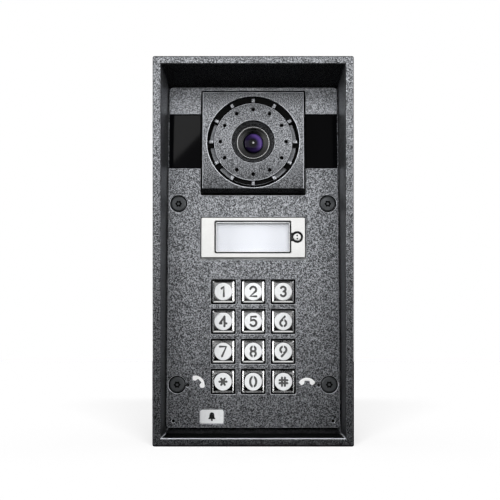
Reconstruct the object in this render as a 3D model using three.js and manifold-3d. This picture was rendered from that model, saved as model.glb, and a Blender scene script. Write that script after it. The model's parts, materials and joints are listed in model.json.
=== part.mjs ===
// A surface-mounted door intercom: a cast housing with a deep rain hood, a sloping rim, a camera,
// an illuminated call key, a twelve-key keypad, a loudspeaker and two microphones.
// Millimetres. X runs to the right, Y runs into the wall, Z runs up. The origin lies in the back
// mounting plane, at the middle of the housing. A "depth" is the distance in front of that plane,
// so a point at depth d lies at y = -d.
import * as THREE from "three";
import { mergeVertices } from "three/addons/utils/BufferGeometryUtils.js";
import Module from "manifold-3d";

const wasm = await Module();
wasm.setup();

// ---- driving dimensions ------------------------------------------------------------------------
const HOUSING_WIDTH = 111;
const HOUSING_HEIGHT = 214;
const HOOD_DEPTH = 83;
const SILL_DEPTH = 59;
const WALL = 4.6;
const BACK_WALL = 3.5;
const LEDGE_DEPTH = 29;
const LEDGE_SIDE = 4.9;
const LEDGE_BOTTOM = 8.4;
const LEDGE_TOP = 4.4;
const GASKET_THICKNESS = 1;
const CHASSIS_DEPTH = LEDGE_DEPTH + GASKET_THICKNESS;
const CHASSIS_THICKNESS = 2;
const PANEL_BACK = CHASSIS_DEPTH + CHASSIS_THICKNESS;
const PANEL_THICKNESS = 3;
const PANEL_FACE = PANEL_BACK + PANEL_THICKNESS;
const PANEL_HALF_WIDTH = 49.85;
const PANEL_BOTTOM = -98.7;
const PANEL_TOP = 101.4;
const WINDOW_BOTTOM = 52.55;
const WINDOW_TOP = 85.1;

const CAMERA_Z = 67.2;
const CAMERA_SIZE = 59.5;
const CAMERA_FACE = 42;
const CAMERA_WALL = 1.5;
const NOTCH_HALF_WIDTH = 31;
const NOTCH_BOTTOM = 36.4;
const NOTCH_TOP = 99.4;
const SLOT_OUTER = 27.1;
const DISC_RADIUS = 23.7;
const LENS_OPENING = 12.7;
const EMITTER_CIRCLE = 19.3;
const EMITTERS = 12;
const EMITTER_HOLE_RADIUS = 1.15;
const DISC_THICKNESS = 2.4;
const DISC_SKIRT = 5.5;
const RIB = { count: 6, inner: 23.3, outer: 26.7, width: 1.7, height: 4.9, middle: 3.05 };

const KEY_PITCH = 17.4;
const KEY_ROW_PITCH = 17.3;
const KEY_TOP_ROW = -20.5;
const KEY_HOLE = 14.5;
const KEY_SIZE = 12.75;
const KEY_FLANGE = 15.4;
const KEY_DISC_RADIUS = 5.05;
const KEY_FACE_THICKNESS = 0.5;
const KEY_SLOPE_HEIGHT = 1;
const KEY_RISE = 1.2;
const KEY_PLATEAU = 11.1;
const KEY_TRAVEL = 1;
const STEM_SIZE = 4;
const STEM_HOLE = 5;

const CALL_Z = 11.15;
const CALL_WIDTH = 60.8;
const CALL_HEIGHT = 23.5;
const CALL_FACE = 37;
const CALL_SCREW_X = 25.8;
const CALL_SCREW_Z = 11.4;

const PANEL_SCREW_X = 44;
const PANEL_SCREW_ROWS = [31.4, -74.2];
const SCREW_HEAD_RADIUS = 4.5;
const SCREW_HEAD_DEPTH = 1.9;
const SCREW_SOCKET_RADIUS = 1.9;
const SCREW_SHANK_RADIUS = 1.95;
const SCREW_HOLE_RADIUS = 2.4;
const SCREW_TIP_DEPTH = 15;
const SMALL_HOLE_RADIUS = 1;
const MICROPHONE_X = 46;
const MICROPHONE_Z = -94.9;
const MICROPHONE_RADIUS = 2.3;
const INDICATOR_X = 37.9;
const INDICATOR_Z = -74.5;
const INDICATOR_RADIUS = 2;
const LIGHT_PIPE_RADIUS = 0.6;
const BADGE = { x: -23.8, z: -92.35, width: 13.4, height: 7.8, corner: 1.2, recess: 0.7 };
const STATUS_LIGHT = { x: 39.5, z: 68.8, width: 12, height: 24 };

const BOARD_THICKNESS = 1.6;
const MAIN_BOARD_DEPTH = 9;
const KEYPAD_BOARD_FRONT = 26.5;
const DOME_FRONT = KEYPAD_BOARD_FRONT + 0.6;
const STEM_END = DOME_FRONT + KEY_TRAVEL + 0.3;
const MAT_BACK = 28;
const MAT_FRONT = 29.5;
const FLANGE_BACK = 30.7;
const FLANGE_FRONT = 31.9;
const MAT = { halfWidth: 34, bottom: -83.5, top: 27 };
const CABLE_Z = -83;
const CABLE_HOLE_RADIUS = 8;
const CABLE_SEAT = { margin: 2.3, depth: 1.2 };
const WALL_SCREW = { x: 38, z: 89, radius: 2.6 };
const GROOVE_DEPTH = 1.8;
const PILOT = { panelScrew: 2.3, panelScrewEnd: 12, boardScrew: 1.5, callScrew: 1.1 };
const EPS = 0.2;
const FINE = 24;
const COARSE = 12;
const SMALL = 6;

// ---- materials ---------------------------------------------------------------------------------
const finish = (color, roughness, metalness) =>
  new THREE.MeshStandardMaterial({ color, roughness, metalness });
const PAINT = finish(0x55585c, 0.6, 0.3);
const GLOSS_BLACK = finish(0x050505, 0.08, 0);
const BRIGHT_METAL = finish(0xc9cac6, 0.3, 1);
const WHITE_PLASTIC = finish(0xf2f3f2, 0.4, 0);
const DARK_PLASTIC = finish(0x1b1c1e, 0.5, 0);
const RUBBER = finish(0x121212, 0.85, 0);
const SILICONE = finish(0xd9dcdc, 0.6, 0);
const BLACKENED_STEEL = finish(0x33373a, 0.4, 0.9);
const BOARD_GREEN = finish(0x1d5a35, 0.45, 0);
const PAPER = finish(0xe6e9f0, 0.8, 0);
const CLEAR = finish(0xf4f6f8, 0.05, 0);
const COATED_GLASS = finish(0x2a1b55, 0.03, 0);
const CONE_PAPER = finish(0x22201e, 0.9, 0);
const ZINC = finish(0xa8abad, 0.35, 1);
const TERMINAL_GREEN = finish(0x2f7d46, 0.5, 0);

// ---- solids ------------------------------------------------------------------------------------
// A closed three.js geometry as a manifold solid.
function solid(geometry) {
  const bare = geometry.clone();
  bare.deleteAttribute("normal");
  bare.deleteAttribute("uv");
  const merged = mergeVertices(bare, 1e-5);
  const index = merged.index.array;
  const triangles = [];
  for (let i = 0; i < index.length; i += 3) {
    const [a, b, c] = [index[i], index[i + 1], index[i + 2]];
    if (a !== b && b !== c && c !== a) {
      triangles.push(a, b, c);
    }
  }
  return new wasm.Manifold(new wasm.Mesh({
    numProp: 3,
    vertProperties: new Float32Array(merged.attributes.position.array),
    triVerts: new Uint32Array(triangles),
  }));
}

// A box between two x, two depths and two z.
function block(x0, x1, depth0, depth1, z0, z1) {
  const geometry = new THREE.BoxGeometry(x1 - x0, depth1 - depth0, z1 - z0);
  geometry.translate((x0 + x1) / 2, -(depth0 + depth1) / 2, (z0 + z1) / 2);
  return solid(geometry);
}

// A box of one width and height around a centre.
function slab(x, z, width, height, depth0, depth1) {
  return block(x - width / 2, x + width / 2, depth0, depth1, z - height / 2, z + height / 2);
}

// A round pin along Y.
function pin(x, z, radius, depth0, depth1, segments = COARSE) {
  const geometry = new THREE.CylinderGeometry(radius, radius, depth1 - depth0, segments);
  geometry.translate(x, -(depth0 + depth1) / 2, z);
  return solid(geometry);
}

// A ring of rectangular section along Y.
function washer(x, z, inner, outer, depth0, depth1, segments = COARSE) {
  return pin(x, z, outer, depth0, depth1, segments)
    .subtract(pin(x, z, inner, depth0 - EPS, depth1 + EPS, segments));
}

// A flat outline in x and z, given thickness between two depths.
function plate(shape, depth0, depth1) {
  const geometry = new THREE.ExtrudeGeometry(shape, {
    depth: depth1 - depth0, bevelEnabled: false, curveSegments: 3,
  });
  geometry.translate(0, 0, depth0);
  geometry.rotateX(Math.PI / 2);
  return solid(geometry);
}

// A solid of revolution about an axis along Y. The profile is a list of [radius, depth] that runs
// from the front, over the outside, to the back.
function turned(x, z, profile, segments = FINE, closed = false) {
  const points = profile.map(([radius, depth]) => new THREE.Vector2(radius, -depth));
  if (closed) {
    points.push(points[0].clone());
  }
  const geometry = new THREE.LatheGeometry(points, segments);
  geometry.translate(x, 0, z);
  return solid(geometry);
}

function join(first, ...others) {
  return others.reduce((sum, other) => sum.add(other), first);
}

function cut(body, ...tools) {
  return tools.reduce((rest, tool) => rest.subtract(tool), body);
}

// A rectangle with rounded corners, as an outline for plate().
function roundedRectangle(x, z, width, height, radius) {
  const [left, right] = [x - width / 2, x + width / 2];
  const [low, high] = [z - height / 2, z + height / 2];
  const shape = new THREE.Shape();
  shape.moveTo(left + radius, low);
  shape.lineTo(right - radius, low);
  shape.absarc(right - radius, low + radius, radius, -Math.PI / 2, 0);
  shape.lineTo(right, high - radius);
  shape.absarc(right - radius, high - radius, radius, 0, Math.PI / 2);
  shape.lineTo(left + radius, high);
  shape.absarc(left + radius, high - radius, radius, Math.PI / 2, Math.PI);
  shape.lineTo(left, low + radius);
  shape.absarc(left + radius, low + radius, radius, Math.PI, 1.5 * Math.PI);
  return shape;
}

const onCircle = (radius, count) => Array.from({ length: count }, (_, i) => {
  const angle = (i / count) * 2 * Math.PI;
  return { x: radius * Math.sin(angle), z: radius * Math.cos(angle), angle };
});

const intercom = new THREE.Group();
intercom.name = "door_intercom";

function addPiece(name, body, material) {
  const mesh = body.getMesh();
  const geometry = new THREE.BufferGeometry();
  geometry.setAttribute("position", new THREE.BufferAttribute(mesh.vertProperties, 3));
  geometry.setIndex(new THREE.BufferAttribute(mesh.triVerts, 1));
  geometry.computeVertexNormals();
  const piece = new THREE.Mesh(geometry, material);
  piece.name = name;
  intercom.add(piece);
}

// ---- shared places -----------------------------------------------------------------------------
const SIDES = [{ side: "left", sign: -1 }, { side: "right", sign: 1 }];
const halfWidth = HOUSING_WIDTH / 2;
const halfHeight = HOUSING_HEIGHT / 2;
const cavityHalfWidth = halfWidth - WALL;
const cavityHalfHeight = halfHeight - WALL;
const rear = {
  halfWidth: cavityHalfWidth - LEDGE_SIDE,
  bottom: -cavityHalfHeight + LEDGE_BOTTOM,
  top: cavityHalfHeight - LEDGE_TOP,
};

// The same place on the left and on the right, at each of these heights.
const mirrored = (x, rows) => rows.flatMap((z) => SIDES.map(({ sign }) => ({ x: sign * x, z })));
const panelScrews = mirrored(PANEL_SCREW_X, PANEL_SCREW_ROWS);
const wallScrews = mirrored(WALL_SCREW.x, [WALL_SCREW.z, -WALL_SCREW.z]);
const boardScrews = mirrored(33, [24, -66]);
const boardStakes = mirrored(38.5, [24.2, -80.5]);
const cameraStakes = mirrored(24.6, [CAMERA_Z + 24.6, CAMERA_Z - 24.6]);
const microphones = mirrored(MICROPHONE_X, [MICROPHONE_Z]);
const indicators = mirrored(INDICATOR_X, [INDICATOR_Z]);
const KEY_NAMES = ["1", "2", "3", "4", "5", "6", "7", "8", "9", "star", "0", "hash"];
const keys = KEY_NAMES.map((label, i) => ({
  name: `key_${label}`,
  x: ((i % 3) - 1) * KEY_PITCH,
  z: KEY_TOP_ROW - Math.floor(i / 3) * KEY_ROW_PITCH,
}));
const callStems = SIDES.map(({ sign }) => ({ x: sign * 20, z: CALL_Z }));
const stems = [...keys, ...callStems];
const keysBottom = KEY_TOP_ROW - 3 * KEY_ROW_PITCH;

// ---- housing -----------------------------------------------------------------------------------
const PILLAR_RADIUS = 3;
const BOSS_RADIUS = 5;

function housing() {
  const profile = new THREE.Shape([
    new THREE.Vector2(0, -halfHeight),
    new THREE.Vector2(SILL_DEPTH, -halfHeight),
    new THREE.Vector2(HOOD_DEPTH, halfHeight),
    new THREE.Vector2(0, halfHeight),
  ]);
  const wedge = new THREE.ExtrudeGeometry(profile, { depth: HOUSING_WIDTH, bevelEnabled: false });
  wedge.translate(0, 0, -halfWidth);
  wedge.applyMatrix4(new THREE.Matrix4().makeBasis(
    new THREE.Vector3(0, -1, 0), new THREE.Vector3(0, 0, 1), new THREE.Vector3(-1, 0, 0),
  ));
  let body = cut(
    solid(wedge),
    slab(0, 0, 2 * cavityHalfWidth, 2 * cavityHalfHeight, LEDGE_DEPTH, HOOD_DEPTH + 5),
    block(-rear.halfWidth, rear.halfWidth, BACK_WALL, LEDGE_DEPTH + EPS, rear.bottom, rear.top),
  );
  for (const { x, z } of panelScrews) {
    body = body.add(pin(x, z, BOSS_RADIUS, BACK_WALL - EPS, LEDGE_DEPTH));
    body = body.subtract(pin(x, z, PILOT.panelScrew, PILOT.panelScrewEnd, LEDGE_DEPTH + EPS));
  }
  for (const { x, z } of boardScrews) {
    body = body.add(pin(x, z, PILLAR_RADIUS, BACK_WALL - EPS, MAIN_BOARD_DEPTH));
    body = body.subtract(pin(x, z, PILOT.boardScrew, BACK_WALL, MAIN_BOARD_DEPTH + EPS));
  }
  for (const { x, z } of wallScrews) {
    body = body.subtract(pin(x, z, WALL_SCREW.radius, -EPS, BACK_WALL + EPS));
  }
  return cut(
    body,
    pin(0, CABLE_Z, CABLE_HOLE_RADIUS, -EPS, BACK_WALL + EPS),
    pin(0, CABLE_Z, CABLE_HOLE_RADIUS + CABLE_SEAT.margin, -EPS, CABLE_SEAT.depth),
    frameRing(GASKET_GROOVE, 0, -EPS, GROOVE_DEPTH),
  );
}

// A rectangular ring between an outer and an inner rectangle, both centred on the housing.
const GASKET_GROOVE = { outerX: 50.2, outerZ: 101.7, innerX: 46.8, innerZ: 98.3 };

function frameRing(ring, shrink, depth0, depth1) {
  const outer = slab(0, 0, 2 * (ring.outerX - shrink), 2 * (ring.outerZ - shrink), depth0, depth1);
  const [innerWidth, innerHeight] = [2 * (ring.innerX + shrink), 2 * (ring.innerZ + shrink)];
  const inner = slab(0, 0, innerWidth, innerHeight, depth0 - EPS, depth1 + EPS);
  return outer.subtract(inner);
}

addPiece("housing", housing(), PAINT);
addPiece("wall_gasket", frameRing(GASKET_GROOVE, 0.2, 0.1, GROOVE_DEPTH), RUBBER);
addPiece("cable_grommet", turned(0, CABLE_Z, [
  [11, 5.5], [11, BACK_WALL], [7.7, BACK_WALL], [7.7, CABLE_SEAT.depth], [10, CABLE_SEAT.depth],
  [10, 0.2], [4.5, 0.2], [4.5, 5.5],
], COARSE, true), RUBBER);

// ---- chassis, gasket and the front plates ------------------------------------------------------
const CHASSIS = { halfWidth: 49.5, bottom: -98.3, top: 101.1 };
const KEYPAD_OPENING = { halfWidth: 26, margin: 8.3 };
const CALL_OPENING = { width: 65, height: 27.5 };
const SPEAKER_OPENING = 24.5;
const HUB = { radius: 17, hole: 8, arm: 6 };
const STAKE = { radius: 1.2, length: 3, shoulder: 3 };
const CAMERA_STAKE_RADIUS = 1.4;
const PANEL_GASKET = {
  outer: { halfWidth: 49.3, bottom: -98.2, top: 101 },
  inner: { halfWidth: 46.5, bottom: -94.6, top: 98.4 },
};

function cameraSpokes() {
  const spokes = join(
    pin(0, CAMERA_Z, HUB.radius, CHASSIS_DEPTH, PANEL_BACK, FINE),
    slab(0, CAMERA_Z, 2 * SPEAKER_OPENING, HUB.arm, CHASSIS_DEPTH, PANEL_BACK),
    slab(0, CAMERA_Z, HUB.arm, 2 * SPEAKER_OPENING, CHASSIS_DEPTH, PANEL_BACK),
  );
  return spokes.subtract(pin(0, CAMERA_Z, HUB.hole, CHASSIS_DEPTH - EPS, PANEL_BACK + EPS, FINE));
}

function frontChassis() {
  const through = [CHASSIS_DEPTH - EPS, PANEL_BACK + EPS];
  const { halfWidth: edge, bottom, top } = CHASSIS;
  let body = cut(
    block(-edge, edge, CHASSIS_DEPTH, PANEL_BACK, bottom, top),
    block(
      -KEYPAD_OPENING.halfWidth, KEYPAD_OPENING.halfWidth, ...through,
      keysBottom - KEYPAD_OPENING.margin, KEY_TOP_ROW + KEYPAD_OPENING.margin,
    ),
    slab(0, CALL_Z, CALL_OPENING.width, CALL_OPENING.height, ...through),
    pin(0, CAMERA_Z, SPEAKER_OPENING, ...through, FINE),
    ...mirrored(STATUS_LIGHT.x, [STATUS_LIGHT.z])
      .map(({ x, z }) => slab(x, z, STATUS_LIGHT.width, STATUS_LIGHT.height, ...through)),
    ...panelScrews.map(({ x, z }) => pin(x, z, SCREW_HOLE_RADIUS, ...through)),
    ...cameraStakes.map(({ x, z }) => pin(x, z, CAMERA_STAKE_RADIUS + 0.3, ...through, SMALL)),
    ...microphones.map(({ x, z }) => pin(x, z, MICROPHONE_RADIUS + 0.3, ...through)),
    ...indicators.map(({ x, z }) => pin(x, z, INDICATOR_RADIUS + 0.3, ...through)),
  );
  body = body.add(cameraSpokes());
  for (const { x, z } of boardStakes) {
    body = join(
      body,
      pin(x, z, STAKE.shoulder, KEYPAD_BOARD_FRONT, CHASSIS_DEPTH + EPS),
      pin(x, z, STAKE.radius, KEYPAD_BOARD_FRONT - STAKE.length, KEYPAD_BOARD_FRONT + EPS, SMALL),
    );
  }
  return body;
}

function panelGasket() {
  const { outer, inner } = PANEL_GASKET;
  return cut(
    block(-outer.halfWidth, outer.halfWidth, LEDGE_DEPTH, CHASSIS_DEPTH, outer.bottom, outer.top),
    block(-inner.halfWidth, inner.halfWidth, LEDGE_DEPTH - EPS, CHASSIS_DEPTH + EPS, inner.bottom, inner.top),
  );
}

const SCREW_SEAT = PANEL_FACE - SCREW_HEAD_DEPTH;

function frontPanel() {
  const corner = 1.4;
  const shape = new THREE.Shape();
  shape.moveTo(-PANEL_HALF_WIDTH + corner, PANEL_BOTTOM);
  shape.lineTo(PANEL_HALF_WIDTH - corner, PANEL_BOTTOM);
  shape.absarc(PANEL_HALF_WIDTH - corner, PANEL_BOTTOM + corner, corner, -Math.PI / 2, 0);
  shape.lineTo(PANEL_HALF_WIDTH, WINDOW_BOTTOM);
  shape.lineTo(NOTCH_HALF_WIDTH, WINDOW_BOTTOM);
  shape.lineTo(NOTCH_HALF_WIDTH, NOTCH_BOTTOM);
  shape.lineTo(-NOTCH_HALF_WIDTH, NOTCH_BOTTOM);
  shape.lineTo(-NOTCH_HALF_WIDTH, WINDOW_BOTTOM);
  shape.lineTo(-PANEL_HALF_WIDTH, WINDOW_BOTTOM);
  shape.lineTo(-PANEL_HALF_WIDTH, PANEL_BOTTOM + corner);
  shape.absarc(-PANEL_HALF_WIDTH + corner, PANEL_BOTTOM + corner, corner, Math.PI, 1.5 * Math.PI);
  const through = [PANEL_BACK - EPS, PANEL_FACE + EPS];
  return cut(
    plate(shape, PANEL_BACK, PANEL_FACE),
    ...keys.map(({ x, z }) => slab(x, z, KEY_HOLE, KEY_HOLE, ...through)),
    slab(0, CALL_Z, CALL_WIDTH + 1, CALL_HEIGHT + 1, ...through),
    ...panelScrews.map(({ x, z }) => pin(x, z, SCREW_HOLE_RADIUS, ...through)),
    ...panelScrews.map(({ x, z }) => pin(x, z, SCREW_HEAD_RADIUS + 0.4, SCREW_SEAT, PANEL_FACE + EPS)),
    ...microphones.map(({ x, z }) => pin(x, z, SMALL_HOLE_RADIUS, ...through, SMALL)),
    ...indicators.map(({ x, z }) => pin(x, z, SMALL_HOLE_RADIUS, ...through, SMALL)),
    plate(
      roundedRectangle(BADGE.x, BADGE.z, BADGE.width + 0.4, BADGE.height + 0.4, BADGE.corner + 0.2),
      PANEL_FACE - BADGE.recess, PANEL_FACE + EPS,
    ),
  );
}

function topPlate() {
  const corner = 2.2;
  const shape = new THREE.Shape();
  shape.moveTo(-PANEL_HALF_WIDTH, WINDOW_TOP);
  shape.lineTo(-NOTCH_HALF_WIDTH, WINDOW_TOP);
  shape.lineTo(-NOTCH_HALF_WIDTH, NOTCH_TOP);
  shape.lineTo(NOTCH_HALF_WIDTH, NOTCH_TOP);
  shape.lineTo(NOTCH_HALF_WIDTH, WINDOW_TOP);
  shape.lineTo(PANEL_HALF_WIDTH, WINDOW_TOP);
  shape.lineTo(PANEL_HALF_WIDTH, PANEL_TOP - corner);
  shape.absarc(PANEL_HALF_WIDTH - corner, PANEL_TOP - corner, corner, 0, Math.PI / 2);
  shape.lineTo(-PANEL_HALF_WIDTH + corner, PANEL_TOP);
  shape.absarc(-PANEL_HALF_WIDTH + corner, PANEL_TOP - corner, corner, Math.PI / 2, Math.PI);
  return plate(shape, PANEL_BACK, PANEL_FACE);
}

addPiece("panel_gasket", panelGasket(), RUBBER);
addPiece("front_chassis", frontChassis(), DARK_PLASTIC);
addPiece("front_panel", frontPanel(), PAINT);
addPiece("top_plate", topPlate(), PAINT);
addPiece("badge_plate", plate(
  roundedRectangle(BADGE.x, BADGE.z, BADGE.width, BADGE.height, BADGE.corner),
  PANEL_FACE - BADGE.recess, PANEL_FACE + 0.15,
), WHITE_PLASTIC);

for (const { side, sign } of SIDES) {
  const [inner, outer] = [NOTCH_HALF_WIDTH + 0.15, PANEL_HALF_WIDTH];
  const middle = sign * (inner + outer) / 2;
  const middleZ = (WINDOW_BOTTOM + WINDOW_TOP) / 2;
  addPiece(`status_window_${side}`, slab(
    middle, middleZ, outer - inner, WINDOW_TOP - WINDOW_BOTTOM - 0.3, PANEL_BACK, PANEL_FACE - 0.8,
  ), GLOSS_BLACK);
  const board = slab(sign * 38.4, STATUS_LIGHT.z, 14, 28, CHASSIS_DEPTH - BOARD_THICKNESS, CHASSIS_DEPTH);
  const lamps = [-8, 0, 8].map((rise) => slab(
    sign * STATUS_LIGHT.x, STATUS_LIGHT.z + rise, 3.2, 2.8, CHASSIS_DEPTH - EPS, CHASSIS_DEPTH + 1.2,
  ));
  addPiece(`status_light_board_${side}`, join(board, ...lamps), BOARD_GREEN);
  addPiece(`microphone_${side}`, pin(
    sign * MICROPHONE_X, MICROPHONE_Z, MICROPHONE_RADIUS, CHASSIS_DEPTH + 0.2, PANEL_BACK - 0.2,
  ), ZINC);
  addPiece(`indicator_light_${side}`, join(
    pin(sign * INDICATOR_X, INDICATOR_Z, INDICATOR_RADIUS, CHASSIS_DEPTH + 0.2, PANEL_BACK - 0.1),
    pin(sign * INDICATOR_X, INDICATOR_Z, LIGHT_PIPE_RADIUS, PANEL_BACK - EPS, PANEL_FACE - 0.4, SMALL),
  ), CLEAR);
}

panelScrews.forEach(({ x, z }, i) => {
  const socket = pin(x, z, SCREW_SOCKET_RADIUS, SCREW_SEAT + 0.5, PANEL_FACE + EPS, SMALL);
  addPiece(`panel_screw_${i + 1}`, join(
    pin(x, z, SCREW_HEAD_RADIUS, SCREW_SEAT, PANEL_FACE - 0.15).subtract(socket),
    pin(x, z, SCREW_SHANK_RADIUS, SCREW_TIP_DEPTH, SCREW_SEAT + EPS, SMALL),
  ), BLACKENED_STEEL);
});

// ---- camera and loudspeaker --------------------------------------------------------------------
const CAMERA_SEAL = 0.6;
const cameraBack = PANEL_BACK + CAMERA_SEAL;
const bezelInner = CAMERA_SIZE - 2 * CAMERA_WALL;
const BEZEL_FACE_THICKNESS = 3.4;

function cameraBezel() {
  let body = cut(
    slab(0, CAMERA_Z, CAMERA_SIZE, CAMERA_SIZE, cameraBack, CAMERA_FACE),
    slab(0, CAMERA_Z, bezelInner, bezelInner, cameraBack - EPS, CAMERA_FACE - BEZEL_FACE_THICKNESS),
  );
  for (const { x, z } of cameraStakes) {
    body = join(
      body,
      pin(x, z, STAKE.shoulder, cameraBack, CAMERA_FACE - 1, SMALL),
      pin(x, z, CAMERA_STAKE_RADIUS, CHASSIS_DEPTH - 0.8, cameraBack + EPS, SMALL),
    );
  }
  return body.subtract(pin(0, CAMERA_Z, SLOT_OUTER, cameraBack, CAMERA_FACE + EPS, FINE));
}

function cameraDisc() {
  const back = CAMERA_FACE - DISC_THICKNESS;
  const skirtBack = CAMERA_FACE - DISC_SKIRT;
  let body = join(
    washer(0, CAMERA_Z, LENS_OPENING, DISC_RADIUS, back, CAMERA_FACE - 0.2, FINE),
    washer(0, CAMERA_Z, DISC_RADIUS - 1.5, DISC_RADIUS, skirtBack, back + EPS, FINE),
    washer(0, CAMERA_Z, RIB.outer - 0.7, RIB.outer + 0.1, skirtBack, skirtBack + 1.3, FINE),
  );
  for (const { angle } of onCircle(1, RIB.count)) {
    const rib = new THREE.BoxGeometry(RIB.width, RIB.height, RIB.outer - RIB.inner);
    rib.translate(0, -(CAMERA_FACE - RIB.middle), (RIB.outer + RIB.inner) / 2);
    rib.rotateY(angle);
    rib.translate(0, 0, CAMERA_Z);
    body = body.add(solid(rib));
  }
  for (const { x, z } of onCircle(EMITTER_CIRCLE, EMITTERS)) {
    body = body.subtract(pin(x, z + CAMERA_Z, EMITTER_HOLE_RADIUS, back - EPS, CAMERA_FACE + EPS, SMALL));
  }
  return body;
}

function infraredBoard() {
  const front = CAMERA_FACE - 4.4;
  let body = washer(0, CAMERA_Z, 13, 21.8, front - 1.2, front, FINE);
  for (const { x, z } of onCircle(EMITTER_CIRCLE, EMITTERS)) {
    body = body.add(pin(x, z + CAMERA_Z, 1.3, front - EPS, CAMERA_FACE - DISC_THICKNESS - 0.3, SMALL));
  }
  return body;
}

addPiece("camera_gasket", cut(
  slab(0, CAMERA_Z, 59.1, 59.1, PANEL_BACK, cameraBack),
  slab(0, CAMERA_Z, 57, 57, PANEL_BACK - EPS, cameraBack + EPS),
), RUBBER);
addPiece("camera_bezel", cameraBezel(), PAINT);
addPiece("camera_disc", cameraDisc(), PAINT);
addPiece("infrared_board", infraredBoard(), BOARD_GREEN);
addPiece("lens_barrel", turned(0, CAMERA_Z, [
  [12.0, 41.2], [12.4, 41.2], [12.4, 37.6], [12.9, 37.6], [12.9, 36.4], [15.5, 36.4], [15.5, 35.2],
  [11.4, 35.2], [11.4, 33.6], [9.9, 33.6], [9.9, 38.0], [10.6, 38.0], [10.6, 39.0], [11.3, 39.0],
  [11.3, 40.1], [12.0, 40.1],
], FINE, true), DARK_PLASTIC);
addPiece("lens_ring", turned(0, CAMERA_Z, [
  [9.6, 38.8], [9.6, 34.4], [6.2, 34.4], [6.2, 37.2], [8.9, 38.8],
], FINE, true), BLACKENED_STEEL);
addPiece("lens_glass", turned(0, CAMERA_Z, [
  [0, 38.6], [2.2, 38.4], [4.2, 37.8], [5.9, 36.6], [5.9, 33.8], [0, 33.8],
]), COATED_GLASS);
addPiece("camera_board", join(
  slab(0, CAMERA_Z, 22, 22, PANEL_BACK, PANEL_BACK + 1.4),
  slab(0, CAMERA_Z, 8, 7, PANEL_BACK + 1.2, PANEL_BACK + 1.7),
), BOARD_GREEN);

addPiece("speaker_frame", turned(0, CAMERA_Z, [
  [27, 30], [27, 28.2], [22.6, 28.2], [12.6, 17], [5, 17], [5, 18.6], [11.9, 18.6], [20.8, 28.6], [20.8, 30],
], FINE, true), ZINC);
addPiece("speaker_cone", turned(0, CAMERA_Z, [
  [0, 26.6], [3, 26.2], [5.6, 24.9], [7, 24.2], [18.4, 29.2], [19.6, 29.7], [20.6, 29.2],
  [20.6, 28.8], [19.4, 29.1], [7.2, 23.4], [4.5, 23.4], [4.5, 19.2], [3.9, 19.2], [3.9, 24.4], [0, 25.8],
]), CONE_PAPER);
addPiece("speaker_magnet", join(
  pin(0, CAMERA_Z, 12, 9.5, 17, FINE),
  pin(0, CAMERA_Z, 3.4, 16.8, 22, SMALL),
), ZINC);

// ---- keypad ------------------------------------------------------------------------------------
const DOME_RADIUS = 3.2;

function keypadMat() {
  const rim = { halfWidth: MAT.halfWidth - 1.5, bottom: MAT.bottom + 1.5, top: MAT.top - 1.5 };
  const outer = block(-MAT.halfWidth, MAT.halfWidth, KEYPAD_BOARD_FRONT, CHASSIS_DEPTH, MAT.bottom, MAT.top);
  const front = block(-rim.halfWidth, rim.halfWidth, MAT_FRONT, CHASSIS_DEPTH + EPS, rim.bottom, rim.top);
  const back = block(-rim.halfWidth, rim.halfWidth, KEYPAD_BOARD_FRONT - EPS, MAT_BACK, rim.bottom, rim.top);
  const holes = stems
    .map(({ x, z }) => slab(x, z, STEM_HOLE, STEM_HOLE, MAT_BACK - EPS, MAT_FRONT + EPS));
  return cut(outer, front, back, ...holes);
}

function keypadBoard() {
  const back = KEYPAD_BOARD_FRONT - BOARD_THICKNESS;
  const board = block(-42, 42, back, KEYPAD_BOARD_FRONT, -84.5, 27.5);
  const domes = stems.map(({ x, z }) => pin(x, z, DOME_RADIUS, KEYPAD_BOARD_FRONT - EPS, DOME_FRONT, SMALL));
  const holes = boardStakes
    .map(({ x, z }) => pin(x, z, STAKE.radius + 0.3, back - EPS, KEYPAD_BOARD_FRONT + EPS, SMALL));
  const bossGaps = panelScrews
    .map(({ x, z }) => pin(x, z, BOSS_RADIUS + 0.8, back - EPS, KEYPAD_BOARD_FRONT + EPS));
  return cut(join(board, ...domes), ...holes, ...bossGaps);
}

// One metal key: a flange behind the panel, a square cap with four sloping sides, a round face
// and the stem that presses the dome.
function key(x, z) {
  const capBase = PANEL_FACE + KEY_RISE;
  const capTop = capBase + KEY_SLOPE_HEIGHT;
  const [topCorner, baseCorner] = [KEY_PLATEAU, KEY_SIZE].map((size) => (size / 2) * Math.SQRT2);
  const slope = new THREE.CylinderGeometry(topCorner, baseCorner, capTop - capBase, 4);
  slope.rotateY(Math.PI / 4);
  slope.rotateX(Math.PI);
  slope.translate(x, -(capBase + capTop) / 2, z);
  return join(
    slab(x, z, KEY_FLANGE, KEY_FLANGE, FLANGE_BACK, FLANGE_FRONT),
    slab(x, z, KEY_SIZE, KEY_SIZE, FLANGE_FRONT - EPS, capBase),
    solid(slope),
    pin(x, z, KEY_DISC_RADIUS, capTop - EPS, capTop + KEY_FACE_THICKNESS),
    slab(x, z, STEM_SIZE, STEM_SIZE, STEM_END, FLANGE_BACK + EPS),
  );
}

addPiece("keypad_mat", keypadMat(), SILICONE);
addPiece("keypad_board", keypadBoard(), BOARD_GREEN);
for (const { name, x, z } of keys) {
  addPiece(name, key(x, z), BRIGHT_METAL);
}

// ---- call key ----------------------------------------------------------------------------------
const INSERT = { left: -22.5, right: 22.2, bottom: 2.1, top: 20.8, corner: 1 };
const LUG = { radius: 3.15, neck: 5.4 };
const CALL_SCREW_HEAD = { radius: 2.3, height: 1.6 };
const CALL_SCREW_SEAT = CALL_FACE - CALL_SCREW_HEAD.height;
const FRAME_BACK = 33.6;

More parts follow.
